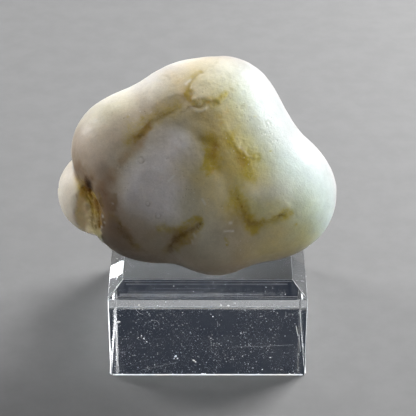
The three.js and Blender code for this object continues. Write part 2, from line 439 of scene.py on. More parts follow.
# The back's own tints, with the same meaning as the face's.
BACK_OLIVE = [
    ([(-4, 14), (8, 12)], 5, 0.5),
    ([(2, -12), (14, -13)], 4.5, 0.5),
    ([(-22, 2), (-16, -8)], 4, 0.4),
]
BACK_RUST = [
    ([(-24, 7), (-15, 2.5), (-7, 5)], 2.6, 0.5),
    ([(-6, -3), (-9, -10), (-6, -15)], 2.4, 0.5),
    ([(8, 3.5), (17, -1), (24, -4)], 2.8, 0.45),
]

# Where fine dark specks gather, with how speckled the rest is, and painted glints: small white highlights
# where scratches and chips catch the light, and a broad one on the oval's upper right.
SPECKLED_LEAST = 0.12
SPECKLED = [
    ([(9.4, 14.6), (11.6, 12.4)], 1.5, 1.0),
    ([(15, 9.4), (19, 6.2)], 1.9, 1.0),
    ([(16.2, 12), (18.4, 9.4)], 2.2, 0.7),
    ([(-6, -1), (-2, -4), (2, -2)], 3.4, 0.4),
    ([(-5, -7), (5, -9)], 3, 0.5),
    ([(7, 6), (12, 0)], 2.4, 0.7),
    ([(-20, 12), (-13, 14)], 2.4, 0.6),
    ([(1, 17), (7, 18)], 2.4, 0.7),
    ([(-18, 0), (-19, -6)], 3, 0.5),
    ([(7, -18), (10, -19)], 2, 0.5),
    ([(20, -4), (26, -10)], 4, 0.4),
]
GLINTS = [
    ([(5.9, -15.1), (8, -15.1)], 0.2, 0.5),
    ([(7.3, -13.1), (7.5, -13.1)], 0.35, 0.4),
    ([(-1.4, -15.8), (-1.1, -16.4)], 0.3, 0.4),
    ([(-1.9, -17.4), (-1.8, -18)], 0.25, 0.3),
    ([(-2.2, 14.8), (-0.2, 13.7), (1.9, 14.7)], 0.3, 0.25),
    ([(-7.6, -3.2), (-6.2, -1.8)], 0.25, 0.5),
    ([(0.6, -7.4), (1.3, -8.6)], 0.25, 0.5),
    ([(-27.4, -16.2), (-24.8, -17.4)], 0.5, 0.6),
    ([(9.6, 5.2), (12.4, 2.6)], 0.3, 0.25),
    ([(-6.4, 8.6), (-4.2, 7.8), (-3.4, 6.2)], 1.5, 0.3),
    ([(-3.4, 20.6), (-2.4, 21.6)], 0.3, 0.5),
    ([(-23.8, -11.4), (-23.7, -11.7)], 0.25, 0.35),
    ([(-23.4, -13), (-23.3, -13.2)], 0.2, 0.35),
    ([(-24.2, -14.2), (-24.1, -14.4)], 0.2, 0.35),
    ([(-21.2, -8.4), (-21, -8.5)], 0.2, 0.3),
]

# Broad washes of tint, which have no edge of their own: line, half-width and strength.
OLIVE_WASH = [
    ([(-9, 13.5), (-4, 14), (0, 12)], 3, 0.5),
    ([(1, 11), (3, 8), (4, 4), (5, 1)], 4.2, 0.65),
    ([(4, 1), (5, -4), (7, -8)], 4, 0.35),
    ([(4.5, 5.5), (6, 3)], 2.2, 0.5),
    ([(8, 12), (11, 4), (12, -2)], 4, 0.35),
    ([(-3, -1), (0, -4), (2, -8)], 3.5, 0.4),
    ([(10.5, -2.5), (14.5, -2)], 3, 0.35),
    ([(9, 0.5), (12, 1)], 2.5, 0.5),
    ([(7, -8), (8, -11)], 2.5, 0.35),
    ([(9, -6), (11, -12), (14, -14), (19, -14.5)], 4, 0.4),
    ([(12, -21), (22, -20), (26, -18)], 4, 0.55),
    ([(-5, 20), (-2, 23)], 3, 0.4),
    ([(1, 18), (6, 18.5)], 3, 0.15),
    ([(-28, -5), (-26, -9), (-27, -15)], 2.6, 0.45),
]
ROSE_WASH = [
    ([(-29, 6), (-25, 0), (-23, -8), (-19, -15)], 6, 0.85),
    ([(-20, 8), (-14, 13)], 5, 0.6),
    ([(-5.6, 20.2), (-1.8, 17)], 2.5, 0.3),
]
LEMON_WASH = [
    ([(5, 15), (9, 9), (13, 3)], 4.5, 0.5),
    ([(18, -14), (24, -15)], 4, 0.45),
    ([(2, 19), (8, 19)], 4, 0.2),
    ([(17, -20.5), (24, -18.5)], 4, 0.45),
    ([(10.6, -8), (13, -9.5)], 2, 0.7),
    ([(-3, 0.5), (-1, -1)], 3, 0.35),
    ([(27, -9), (27, -14)], 4, 0.3),
    ([(-16, 5), (-11, 8)], 3.5, 0.35),
    ([(-1, 5), (0, 7)], 2.5, 0.35),
    ([(8, 1), (10, -1)], 2.5, 0.5),
    ([(13, -0.5), (14, -1)], 2.5, 0.4),
    ([(12, -10.5), (18, -10)], 3, 0.75),
    ([(9, 6), (14, 0)], 3, 0.4),
    ([(-25, 14), (-19, 16)], 4, 0.3),
]
PALE_PATCHES = [
    ([(13, -4), (18, -6), (22, -8)], 6, 0.95),
    ([(2, 22), (6, 21), (8, 24)], 4, 0.3),
    ([(14, 5), (18, 0)], 4, 0.4),
    ([(10.8, -5), (13, -7)], 3, 0.6),
    ([(-28.5, -15.6), (-25, -17.8)], 1.3, 1.0),
]
MILKY_WASH = [
    ([(-27, 17), (-16, 22), (-6, 27)], 5, 0.8),
    ([(14, -6), (17, -8)], 4.5, 0.4),
]
# Painted shade: places where the quartz is painted darker, on its lower left, along its underside and
# in the hollows under its ledges.
PAINTED_SHADE_PATCHES = [
    ([(7, -15), (9, -21)], 4.5, 0.5),
    ([(-32, 3), (-30.5, -0.5)], 2, 0.5),
    ([(-4, 2), (-3, -3)], 3.5, 0.2),
    ([(-14, 6), (-10, 8.5)], 4, 0.22),
    ([(-19, 11), (-14, 14.5)], 3.5, 0.3),
    ([(11, -2.6), (14, -1.8)], 2.5, 0.1),
    ([(15, 8), (17, 5)], 4, 0.15),
    ([(-1, 21), (5, 22)], 4, 0.15),
    ([(-24.3, -5.5), (-23, -9), (-22.6, -12), (-22.6, -15)], 2.3, 0.85),
    ([(-24.5, -8.5), (-24, -14)], 1.0, 0.6),
    ([(7, -8), (8.5, -12), (10, -17)], 3, 0.12),
    ([(-10, 9), (-6, 10.5), (0, 10), (1, 7)], 4, 0.4),
    ([(-28, -14), (-20, -19), (-12, -21), (-4, -22)], 4, 0.3),
    ([(-1.5, 7), (-1, 3)], 2.5, 0.25),
    ([(-30, -0.5), (-28.5, -2.5)], 1.2, 0.5),
    ([(4, -27), (16, -26), (25, -23)], 4, 0.8),
    ([(-32, 8), (-31, 3)], 4, 0.5),
    ([(-23.5, -1), (-21.8, -4.5), (-21.2, -9)], 2.6, 0.42),
    ([(-28, 8), (-24, 3)], 5, 0.16),
    ([(-12, -15), (-7.5, -17)], 3, 0.25),
    ([(8.5, -13.5), (12, -17)], 3.2, 0.35),
    ([(-6, 25), (1, 25.5)], 3, 0.22),
    ([(13, 12), (18, 7)], 3, 0.15),
    ([(-12, 2), (-7, -4)], 5, 0.1),
    ([(-18, -1), (-17, -6)], 2.2, 0.15),
    ([(-14.5, -0.5), (-9, 4)], 3, 0.12),
    ([(-8.4, 16.4), (-6, 16.6)], 2, 0.25),
]

# Painted shade on the stone's upper right and behind it, where the key lamp lights it most: the way it
# lies from the stone's middle, and the cosines of the angle from that way at which it starts and is full.
LAMP_SIDE_WAY = (0.702, 0.492, -0.514)
LAMP_SIDE_COSINES = (0.3, 0.64)

# Borders between tints and their half-widths, with the tint on the left of the line's direction:
# the icy right end, and the painted shade below and left of the second line.
ICE_WIDTH = 8
ICE_BORDER = [
    (8, 34), (8.5, 20), (10.5, 13), (13.5, 7), (17.5, 1), (21.5, -4), (24.5, -9), (25.5, -16), (27, -26),
]
PAINTED_SHADE_WIDTH = 11
PAINTED_SHADE_BORDER = [(34, -34), (14, -27), (-4, -20.5), (-17, -13.5), (-34, -3)]

# The stains and washes that wander and are drawn from tables alone, each named after its mask.
FACE_WASHES = {
    "ochre": OCHRE,
    "umber": UMBER,
    "rust": RUST,
    "rose": ROSE_WASH,
    "olive": OLIVE_WASH,
    "lemon": LEMON_WASH,
    "pale": PALE_PATCHES,
}
BACK_WASHES = {"ochre": BACK_OCHRE, "rust": BACK_RUST, "olive": BACK_OLIVE}

# ---------------------------------------------------------------------------------------------
# The display block (millimetres): its bevel, the radius of its four upright corners, the radius
# of every other edge, and the steps round a quarter turn and round an edge.

BLOCK_BEVEL = 3.65
BLOCK_CORNER = 0.4
BLOCK_FILLET = 0.32
CORNER_STEPS = 8
FILLET_STEPS = 5

# Lint on the block. Single flecks of its front, of the bevel over it and of each bottom edge: across
# and up from the face's middle, and size. A fleck's half-length and half-width are shares of its
# size, and the flecks of a face are turned through this angle from the first to the last.
FLECK_SHAPE = (0.42, 0.26)
FLECK_TURNS = 7 * math.pi
FRONT_FLECKS = [
    (-22.4, 5.2, 1.1), (-22.9, 5, 0.6), (-17.2, 10.4, 0.7), (-16.8, 0.8, 0.7), (-16.2, -0.1, 0.8),
    (-15.5, -1.1, 0.6), (-17.6, 0.2, 0.4), (-8.2, -5.7, 1.1), (-7.7, -6.4, 0.7), (-8.6, -6.5, 0.5),
    (-3.6, -7, 1.0), (-3.1, -7.5, 0.7), (-0.3, -7.7, 0.4), (-1.5, -11.4, 0.9), (-0.6, -11.3, 0.5),
    (3.3, 10.4, 0.9), (5.2, 10.2, 0.9), (6.8, 10.9, 0.7), (1.3, 6.8, 0.7), (0.8, 7.5, 0.4),
    (8.4, 1.6, 0.6), (9.1, 1.9, 0.4), (16, -6.1, 0.7), (0.8, 0, 0.5), (14, -10, 0.6),
    (-10.5, 11.3, 0.5), (-24.2, -0.3, 0.5), (-12.6, 10.1, 0.4), (14.8, 5.3, 0.35), (-18.6, -5.5, 0.4),
    (-4.4, 1.9, 0.4), (11.6, -9.5, 0.45), (-13.6, -8.5, 0.45), (3.4, -2.3, 0.35), (19.6, 0.7, 0.35),
    (8.9, -5.6, 0.4), (10.4, -8.2, 0.35), (-11.2, 6.4, 0.4), (-6.3, 8, 0.4), (12.6, 9.6, 0.4),
]
BEVEL_FLECKS = [
    (-8.5, 0.9, 0.45), (14.6, 0.6, 0.4), (-3.6, -0.5, 0.35), (19.4, -1.2, 0.35), (4.4, 1.3, 0.3),
]
FOOT_FLECKS = [
    (-22, 0.1, 0.6), (-9, 0.1, 0.5), (-1, 0.1, 0.9), (0.4, 0, 0.6), (13, 0.1, 0.5), (21, 0.1, 0.7),
]

# Threads and polishing lines of the front and the bevel, and the glowing line along each bottom edge, which
# on the front is a painted highlight of the edge: start across and up, heading and turn in degrees, length
# and half-thickness. Also the steps along a thread, and how far its middle is lifted off the face, as a
# share of its half-thickness.
FRONT_THREADS = [
    (-18.3, 10.7, -100, 75, 4.2, 0.035), (-14.9, 4.7, 80, -170, 4, 0.03), (6.3, -2.8, 1, 3, 15.5, 0.016),
    (-17.2, -10.3, 18, -5, 10, 0.016), (9.4, 9.9, -20, 60, 2.2, 0.028), (2.4, 3.5, 70, 40, 1.8, 0.025),
    (19.6, 8.3, -80, -30, 2.4, 0.025), (22.3, 3.9, -80, 0, 3.2, 0.1), (23.1, 1.2, -84, 0, 5.5, 0.04),
]
BEVEL_THREADS = [
    (-21, 2.1, 0, 0, 42, 0.02), (-20.5, 1.4, 0, 0, 40.5, 0.026), (-22.5, -1.8, 0, 0, 45, 0.024),
    (-22.8, -2.2, 0, 0, 45.6, 0.016), (-14, 0.3, 0, 0, 16, 0.012), (-22, -1.1, 0, 0, 30, 0.022),
    (-22, -1.3, 0, 0, 36, 0.026), (-22, -1.5, 0, 0, 26, 0.022), (-20, -0.6, 0, 0, 19, 0.018),
    (-3, -0.9, 0, 0, 20, 0.014),
]
FOOT_GLOW_LINES = [(-24.4, -0.12, 0, 0, 48.8, 0.17)]
THREAD_STEPS = 10
THREAD_LIFT = 0.6

# What is strewn over each kind of face: how many grains and threads, and how far a grain may be
# turned. Also the grains' smallest and largest half-length, how rare the large ones are, their
# flatness, their smallest width as a share of their length, the cell and seed of the drifts they
# gather in, how often a grain lies outside a drift, and the margin they keep from an edge. The
# seed is that of everything strewn.
LINT_SEED = 5
LINT_COUNTS = {
    "front": (4500, 5, math.pi),
    "side": (150, 2, math.pi),
    "bevel": (60, 1, math.pi),
    "top": (130, 2, math.pi),
    "foot": (120, 0, 0.4),
}
GRAIN_SIZES = (0.048, 0.24)
GRAIN_RARITY = 10
GRAIN_FLATNESS = 0.35
GRAIN_SLIMNESS = 0.4
LINT_DRIFT = (5.0, 7)
LINT_STRAY = 0.8
LINT_MARGIN = 0.5

# Strewn threads: the share of a face that they start on, and the limits of their turn in radians,
# length and half-thickness.
THREAD_REACH = 0.85
THREAD_BENDS = (-1.5, 1.5)
THREAD_LENGTHS = (0.6, 1.8)
THREAD_RADII = (0.012, 0.022)

# ---------------------------------------------------------------------------------------------
# Colours and finishes. Each tint, stain and painted shade is named after the mask that it shows through.

QUARTZ_STRAW = (0.82, 0.765, 0.59)
QUARTZ_TINTS = {
    "rose": (0.83, 0.70, 0.57),
    "pale": (0.90, 0.905, 0.72),
    "ice": (0.685, 0.81, 0.795),
    "cloud": (0.93, 0.885, 0.855),
}
# Painted shade, laid over the tints by multiplying.
QUARTZ_PAINTED_SHADE = (0.34, 0.265, 0.205)
# Painted rim light: the whitish colour of the rim, sides and back.
QUARTZ_RIM_LIGHT = (0.86, 0.855, 0.87)
# The side lobe's pale cream, partly its own colour, partly a painted glow of light shining through it.
QUARTZ_SIDE = (0.94, 0.84, 0.70)
QUARTZ_STAINS_AND_SHADE = {
    "olive": (0.93, 0.79, 0.36),
    "lemon": (0.93, 0.92, 0.62),
    "fracture": (0.96, 0.93, 0.75),
    "rust": (0.80, 0.66, 0.52),
    "ochre": (0.84, 0.75, 0.23),
    "umber": (0.46, 0.34, 0.20),
    # The dark marks' colour, which along the bottom rim is painted shade.
    "dark": (0.20, 0.13, 0.07),
    "pits": (0.40, 0.36, 0.28),
    "rough": (0.86, 0.80, 0.62),
    # Painted shade: the back's darker colour.
    "back": (0.58, 0.571, 0.551),
    # Painted shade where the key lamp lights the stone most.
    "lamp_side_shade": (0.60, 0.54, 0.545),
}
QUARTZ_DOTS = (0.42, 0.36, 0.27)
# Painted glints: the white of small highlights.
QUARTZ_GLINT = (0.97, 0.96, 0.92)

# The noises that mottle the quartz, as scale, detail, roughness and distortion, and how much of
# the patchy noise is mottle, the rest being specks.
QUARTZ_NOISES = {
    "drift": (140, 4, 0.55, 0.4),
    "veils": (420, 5, 0.6, 0.6),
    "specks": (2600, 3, 0.7, 0),
    "mottle": (520, 5, 0.75, 0.5),
}
MOTTLE_SHARE = 0.6

# How dark and light each noise shades the quartz, how it weakens and strengthens a stain, and the
# strengths between which a mottled stain comes in.
DRIFT_SHADES = (0.9, 1.0)
VEIL_SHADES = (-0.04, 0.04)
SPECK_SHADES = (-0.05, 0.05)
OLIVE_DRIFT = (0.75, 1.1)
PIT_VEILS = (0.2, 1.2)
STAIN_MOTTLE = (0.3, 1.5)
STAIN_STRENGTHS = (0.08, 0.8)
# How far the painted rim light whitens the quartz, and how strong its pits and crust are.
RIM_LIGHT_SHARE = 0.85
PIT_SHARE = 0.45
CRUST_SHARE = 0.5

# Clusters of tiny dark dots, and tiny painted sparkles: how strong they are, their cells, their size in a
# cell, and the share of cells that have one.
DOT_SHARE = 0.7
DOTS = {"Scale": 1500, "Size": 0.34, "Share": 0.5}
CLUSTER_SCALE = 700
CLUSTER_EDGE = (0.42, 0.62)
SPARKLE_SHARE = 0.6
SPARKLES = {"Scale": 1150, "Size": 0.26, "Share": 0.25}

# Finishes. A plain roughness is for viewers that show none of the grain, and a bump is its strength
# and its full height in metres.
QUARTZ_PLAIN_ROUGHNESS = 0.45
QUARTZ_ROUGHNESS = (0.36, 0.56)
QUARTZ_GRAIN = (0.3, 0.7)
QUARTZ_BUMP = (0.25, 0.0003)
DOT_DENT = 0.8
QUARTZ_SCATTERING = {
    "Subsurface Weight": 0.6,
    "Subsurface Radius": (1.0, 0.95, 0.8),
    "Subsurface Scale": 0.014,
    "IOR": 1.54,
    "Specular IOR Level": 0.3,
}
ACRYLIC_COLOUR = (0.95, 0.975, 1.0)
ACRYLIC_PLAIN_ROUGHNESS = 0.02
ACRYLIC_CLEARNESS = {"Transmission Weight": 1, "IOR": 1.49}
ACRYLIC_SMEARS = (-0.08, 0.14)
ACRYLIC_SMEAR_SCALE = 420
ACRYLIC_BUMP = (0.3, 0.00003)
EDGE_FROST = 0.35

# Hairline scratches: their pattern's defaults, the axis it is turned round, the scale, detail and
# edge of the patches that they show in, and how rough they are.
SCRATCHES = {"Scale": 420.0, "Stretch": 0.03, "Turn": 0.5, "Width": 0.004}
SCRATCH_AXIS = (0.3, 1, 0.2)
SCRATCH_PATCHES = (120, 2)
SCRATCH_PATCH_EDGE = (0.5, 0.62)
SCRATCH_ROUGHNESS = 0.25

# Lint takes a colour between these two. It glows by its own emission, a painted glow that stands in for
# light caught in the block: flecks most, then lines, then dust.
LINT_COLOURS = ((0.95, 0.93, 0.88), (0.86, 0.91, 0.98))
LINT_TONE_SCALE = 260
LINT_ROUGHNESS = 0.6
FLECK_GLOW = 0.85
LINE_GLOW = 0.3
DUST_GLOW = 0.06

# ---------------------------------------------------------------------------------------------
# The stage (metres and watts): the floor's half side, how far it lies under the block and the
# colours it takes, the colour of the dim studio, the camera, and the soft lamps as name, place,
# target, size and power.

FLOOR_SIDE = 3.0
FLOOR_DROP = 0.0001
FLOOR_COLOURS = ((0.192, 0.192, 0.192), (0.208, 0.208, 0.208))
FLOOR_TONE_SCALE = 120
FLOOR_ROUGHNESS = 0.8
STUDIO_DIM = (0.028, 0.034, 0.047)
CAMERA_ELEVATION = math.radians(32.42)
CAMERA_DISTANCE = 0.4511
CAMERA_TARGET = (0.00007, 0, 0.03516)
CAMERA_SENSOR = 36
CAMERA_LENS = 150.92
SOFTBOXES = [
    ("key", (0.404, 0.327, 0.36), (0, 0, 0.05), (0.35, 0.35), 8.4),
    ("left rim", (-0.48, 0.26, 0.24), (0, 0, 0.05), (0.2, 0.3), 2.5),
    ("top fill", (-0.1, -0.1, 0.85), (0, 0, 0.04), (0.4, 0.4), 1.0),
    ("front strip", (0.05, -0.6, 0.3), (0, 0, 0.03), (0.5, 0.06), 0.12),
    ("right rim", (0.5, -0.06, 0.13), (0, 0, 0.05), (0.25, 0.2), 0.75),
]

# ---------------------------------------------------------------------------------------------
# Working with arrays.

def smooth_step(value, low, high):
    """0 below low, 1 above high, and the cubic 3t^2 - 2t^3 between them."""
    t = np.clip((value - low) / (high - low), 0, 1)
    return t * t * (3 - 2 * t)


def smooth_largest(distances, blend):
    """The largest of several arrays, rounded over: log of the sum of exp(blend d), over blend."""
    stacked = np.stack(distances)
    largest = stacked.max(axis=0)
    return largest + np.log(np.exp(blend * (stacked - largest)).sum(axis=0)) / blend


def lattice_noise(points, cell, seed):
    """Smooth random values from -1 to 1. Each corner of a cubic lattice holds a random value, and
    a point takes the mean of the eight corners round it, weighted by the cubic of its nearness."""
    size = 32
    table = np.random.default_rng(seed).uniform(-1, 1, (size, size, size))
    scaled = points / cell
    low = np.floor(scaled).astype(int)
    share = smooth_step(scaled - low, 0, 1)
    total = np.zeros(len(points))
    for corner in itertools.product((0, 1), repeat=3):
        weight = np.where(corner, share, 1 - share).prod(axis=1)
        total += weight * table[tuple(((low + corner) % size).T)]
    return total


def layered_noise(points, height, cell, seed, layers):
    """The given height times the sum of lattice noises, each with half the cell and half the
    height of the one before."""
    return height * sum(lattice_noise(points, cell / 2**k, seed + k) / 2**k for k in range(layers))


def wander(points, noises):
    """x and y, each moved about by several layered noises. Those of y have seeds ten further on."""
    moved = []
    for axis in (0, 1):
        place = points[:, axis]
        for height, cell, seed, layers in noises:
            place = place + layered_noise(points, height, cell, seed + 10 * axis, layers)
        moved.append(place)
    return moved


def chipped_noise(points, cell, seed):
    """Flat chips from about -1 to 1. Each cell of a cubic lattice holds one scattered seed with a
    random slope and step, and a point takes the sloping plane of its nearest seed."""
    size = 16
    rng = np.random.default_rng(seed)
    scatter = rng.uniform(0, 1, (size, size, size, 3))
    slope = rng.uniform(-1, 1, (size, size, size, 3))
    step = rng.uniform(-0.4, 0.4, (size, size, size))
    low = np.floor(points / cell).astype(int)
    nearest = np.full(len(points), np.inf)
    height = np.zeros(len(points))
    for neighbour in itertools.product((-1, 0, 1), repeat=3):
        home = low + neighbour
        key = tuple((home % size).T)
        offset = points / cell - home - scatter[key]
        distance = (offset**2).sum(axis=1)
        plane = (offset * slope[key]).sum(axis=1) + step[key]
        height = np.where(distance < nearest, plane, height)
        nearest = np.minimum(nearest, distance)
    return height


def smooth_line(points, closed=False, steps=5):
    """A finer line through the points: between two of them it is the cubic whose slope at each
    point is half the step between that point's neighbours."""
    p = np.array(points, float)
    ends = (p[-1:], p[:2]) if closed else (2 * p[:1] - p[1:2], 2 * p[-1:] - p[-2:-1])
    padded = np.vstack([ends[0], p, ends[1]])
    before, start, end, after = padded[:-3], padded[1:-2], padded[2:-1], padded[3:]
    t = np.linspace(0, 1, steps, endpoint=False)[:, None, None]
    curve = (
        start + t * (end - before) / 2
        + t**2 * (before - 2.5 * start + 2 * end - after / 2)
        + t**3 * (1.5 * (start - end) + (after - before) / 2)
    )
    fine = curve.transpose(1, 0, 2).reshape(-1, 2)
    return np.vstack([fine, p[:1] if closed else p[-1:]])


def line_measure(x, y, line):
    """The distance from each point to a line, which side of its nearest stretch the point is on
    (1 left, -1 right), and the point's share of the way along the line."""
    lengths = np.hypot(*np.diff(line, axis=0).T)
    starts = np.concatenate([[0], np.cumsum(lengths)])
    nearest = np.full(x.shape, np.inf)
    side = np.ones(x.shape)
    along = np.zeros(x.shape)
    for (x0, y0), (x1, y1), length, start in zip(line[:-1], line[1:], lengths, starts):
        dx, dy = (x1 - x0) / length, (y1 - y0) / length
        t = np.clip((x - x0) * dx + (y - y0) * dy, 0, length)
        distance = np.hypot(x - x0 - t * dx, y - y0 - t * dy)
        closer = distance < nearest
        nearest = np.where(closer, distance, nearest)
        side = np.where(closer, np.sign(dx * (y - y0) - dy * (x - x0)), side)
        along = np.where(closer, (start + t) / starts[-1], along)
    return nearest, side, along


def inside_distance(x, y, outline):
    """The distance to a closed outline, positive inside it. A point is inside where a ray to its
    right crosses the outline an odd number of times."""
    ring = smooth_line(outline, closed=True)
    distance, _, _ = line_measure(x, y, ring)
    crossings = np.zeros(x.shape, int)
    for (x0, y0), (x1, y1) in zip(ring[:-1], ring[1:]):
        spans = (y0 > y) != (y1 > y)
        meets = x0 + (y - y0) * (x1 - x0) / (y1 - y0 if y1 != y0 else 1)
        crossings += spans & (x < meets)
    return np.where(crossings % 2, distance, -distance)


# ---------------------------------------------------------------------------------------------
# The stone's surface.

def ellipsoid_reach(directions, centre, radii):
    """How far a ray from the stone's middle travels to leave an ellipsoid: the larger root of
    |(t u - c) / r| = 1, with the root softened where the ray only grazes it."""
    step = directions / np.array(radii, float)
    start = np.array(centre, float) / np.array(radii, float)
    slant = (step * step).sum(axis=1)
    towards = step @ start
    inside = towards**2 / slant - (start @ start - 1)
    softened = (inside + np.hypot(inside, GRAZE_SOFTENING)) / 2
    return (towards + np.sqrt(slant * softened)) / slant


def end_taper(along, taper):
    """0 at both ends of a line and 1 between them, risen smoothly over this share of its length."""
    return smooth_step(along, 0, taper) * smooth_step(1 - along, 0, taper)


def ledge_relief(x, y, line, depth, width, lip, reach):
    """A groove exp(-(d/w)^2) deep along the line, and a lip on its left that slopes smoothly down
    to nothing at its reach. Both taper off towards the line's ends."""
    distance, side, along = line_measure(x, y, smooth_line(line))
    taper = end_taper(along, LEDGE_TAPER)
    deep = LEDGE_END_DEPTH + (1 - LEDGE_END_DEPTH) * taper
    groove = depth * np.exp(-((distance / width) ** 2)) * deep
    raised = lip * smooth_step(side * distance, *LEDGE_STEP) * (1 - smooth_step(distance, 0, reach)) * taper
    return raised - groove


def swell_relief(x, y, centre, radii, turn, height):
    """A rounded swelling, height exp(-d^2), where d is the distance in turned half-widths."""
    dx, dy = x - centre[0], y - centre[1]
    cosine, sine = math.cos(math.radians(turn)), math.sin(math.radians(turn))
    across = (dx * cosine + dy * sine) / radii[0]
    up = (dy * cosine - dx * sine) / radii[1]
    return height * np.exp(-(across**2 + up**2))


def pit_mask(x, y):
    """1 on each small pit: exp(-((d - r)/w)^2) for a ring of radius r, and round a dot."""
    mask = np.zeros(x.shape)
    for (pit_x, pit_y), radius in PITS:
        distance = np.hypot(x - pit_x, y - pit_y)
        mask = np.maximum(mask, np.exp(-(((distance - radius) / PIT_WIDTH) ** 2)))
    return mask


def seam_mask(points, bend):
    """1 on each healed crack, falling off as exp(-(d/w)^2) with the distance from its bent plane.
    Gives the mask and the grooves' depth."""
    mask = np.zeros(len(points))
    depth = np.zeros(len(points))
    behind = smooth_step(-points[:, 2], *SEAM_DEPTHS)
    for facing, level, groove, width in SEAMS:
        distance = points @ np.array(facing) - level + bend
        near = behind * np.exp(-((distance / width) ** 2))
        mask = np.maximum(mask, near)
        depth = np.maximum(depth, groove * near)
    return mask, depth


def near_line(x, y, line, width):
    """Whether each point is in the box round a line with room for three half-widths, past which a
    stain has faded out."""
    low, high = np.min(line, axis=0) - 3 * width, np.max(line, axis=0) + 3 * width
    return (x > low[0]) & (x < high[0]) & (y > low[1]) & (y < high[1])


def stain_mask(x, y, stains):
    """All stains together: one minus the product of what each leaves, exp(-(d/w)^2) strong."""
    clear = np.ones(x.shape)
    for line, width, strength in stains:
        near = near_line(x, y, line, width)
        distance, _, _ = line_measure(x[near], y[near], smooth_line(line))
        clear[near] *= 1 - strength * np.exp(-((distance / width) ** 2))
    return 1 - clear


def edge_stain_mask(x, y, stains):
    """Stains that end sharply at a line and fade away on its left: one minus the product of what
    each leaves, a step over the line times exp(-(d/w)^2)."""
    clear = np.ones(x.shape)
    for line, width, strength in stains:
        near = near_line(x, y, line, width)
        distance, side, along = line_measure(x[near], y[near], smooth_line(line))
        step = smooth_step(side * distance, *EDGE_STEP) * end_taper(along, EDGE_TAPER)
        clear[near] *= 1 - strength * step * np.exp(-((distance / width) ** 2))
    return 1 - clear


def border_mask(x, y, line, width):
    """1 on the left of a border and 0 on its right, over the given width."""
    distance, side, _ = line_measure(x, y, smooth_line(line))
    return smooth_step(side * distance, -width, width)


def cube_grid(steps):
    """Unit directions on a cube's surface grid: each face's two parameters are equal angles from
    -45 to 45 degrees, and the faces' shared edges are merged. Gives the directions and quads."""
    turn = np.tan(np.linspace(-math.pi / 4, math.pi / 4, steps + 1))
    u, v = np.meshgrid(turn, turn, indexing="ij")
    one = np.ones_like(u)
    faces = [(u, v, one), (-u, v, -one), (one, u, v), (-one, -u, v), (v, one, u), (v, -one, -u)]
    corners = np.stack([np.stack(face, axis=-1) for face in faces]).reshape(-1, 3)
    index = np.arange(len(corners)).reshape(len(faces), steps + 1, steps + 1)
    quads = np.stack(
        [index[:, :-1, :-1], index[:, 1:, :-1], index[:, 1:, 1:], index[:, :-1, 1:]], axis=-1
    ).reshape(-1, 4)
    _, first, shared = np.unique(
        np.round(corners, 6), axis=0, return_index=True, return_inverse=True
    )
    directions = corners[first]
    directions /= np.linalg.norm(directions, axis=1, keepdims=True)
    return directions, shared.reshape(-1)[quads]


def stone_body(directions):
    """The whole stone before its fine relief: the farthest of the swellings in each direction,
    cut off by the worn foot. Also gives how far each point belongs to the side lobe."""
    body = smooth_largest([ellipsoid_reach(directions, *lobe) for lobe in BODY_LOBES.values()], BODY_BLEND)
    side = ellipsoid_reach(directions, *SIDE_LOBE)
    whole = smooth_largest([body, side], CREASE_BLEND)
    downwards = -directions[:, 1] * math.cos(LEAN) - directions[:, 2] * math.sin(LEAN)
    foot = (FOOT_DEPTH + REST_GAP - CONTACT_GAP) / np.maximum(downwards, FOOT_MIN_COSINE)
    cut = -smooth_largest([-whole, -foot], FOOT_BLEND)
    reach = np.where(downwards > FOOT_MIN_COSINE, cut, whole)
    on_foot = smooth_step(whole - foot, *FOOT_EDGE) * (downwards > FOOT_MIN_COSINE)
    on_side = 1 / (1 + np.exp(-2 * CREASE_BLEND * (side - body)))
    return directions * reach[:, None], on_side, on_foot


def break_side_lobe(points):
    """Breaks the side lobe's front off down to the plane z = z0 + a (x - x0) + b (y - y0), which
    rises towards the body, and cuts the body's foot beside it down to the same plane. Gives the
    points' new z, how broken each is, and a line round the break."""
    x, y, z = points.T
    across, up = BREAK_SLOPES
    level = BREAK_POINT[2] + across * (x - BREAK_POINT[0]) + up * (y - BREAK_POINT[1])
    level = level + BREAK_RISE * smooth_step(x, *BREAK_RISE_SPAN)
    beside_body = border_mask(x, y, BODY_EDGE, BODY_EDGE_WIDTH) * (x < BODY_EDGE_END)
    inside = inside_distance(x + layered_noise(points, *BREAK_RAGGEDNESS), y, BREAK_OUTLINE)
    in_front = smooth_step(z, *BREAK_DEPTHS)
    broken = smooth_step(inside, *BREAK_EDGE) * in_front
    break_line = np.exp(-((inside / BREAK_LINE_WIDTH) ** 2)) * in_front
    level = level - BREAK_SINK * broken
    filled = broken * smooth_step(x, *BREAK_FILL_SPAN)
    z = z + filled * np.maximum(0, level - z) - np.maximum(broken, beside_body) * np.maximum(0, z - level)
    brim = (1 - smooth_step(-inside, 0, BREAK_BRIM_REACH)) * smooth_step(-x, *BREAK_BRIM_SPAN) * (1 - broken)
    z = z + BREAK_BRIM * brim * smooth_step(z, *BREAK_BRIM_DEPTHS)
    return z, broken, break_line


def side_relief(x, y, bent, ledges, swells, worn):
    """The relief of one side: its ledges, unevenly worn, and its swellings and hollows."""
    relief = sum(ledge_relief(*bent, **ledge) for ledge in ledges.values()) * worn
    return relief + sum(swell_relief(x, y, *swell) for swell in swells)


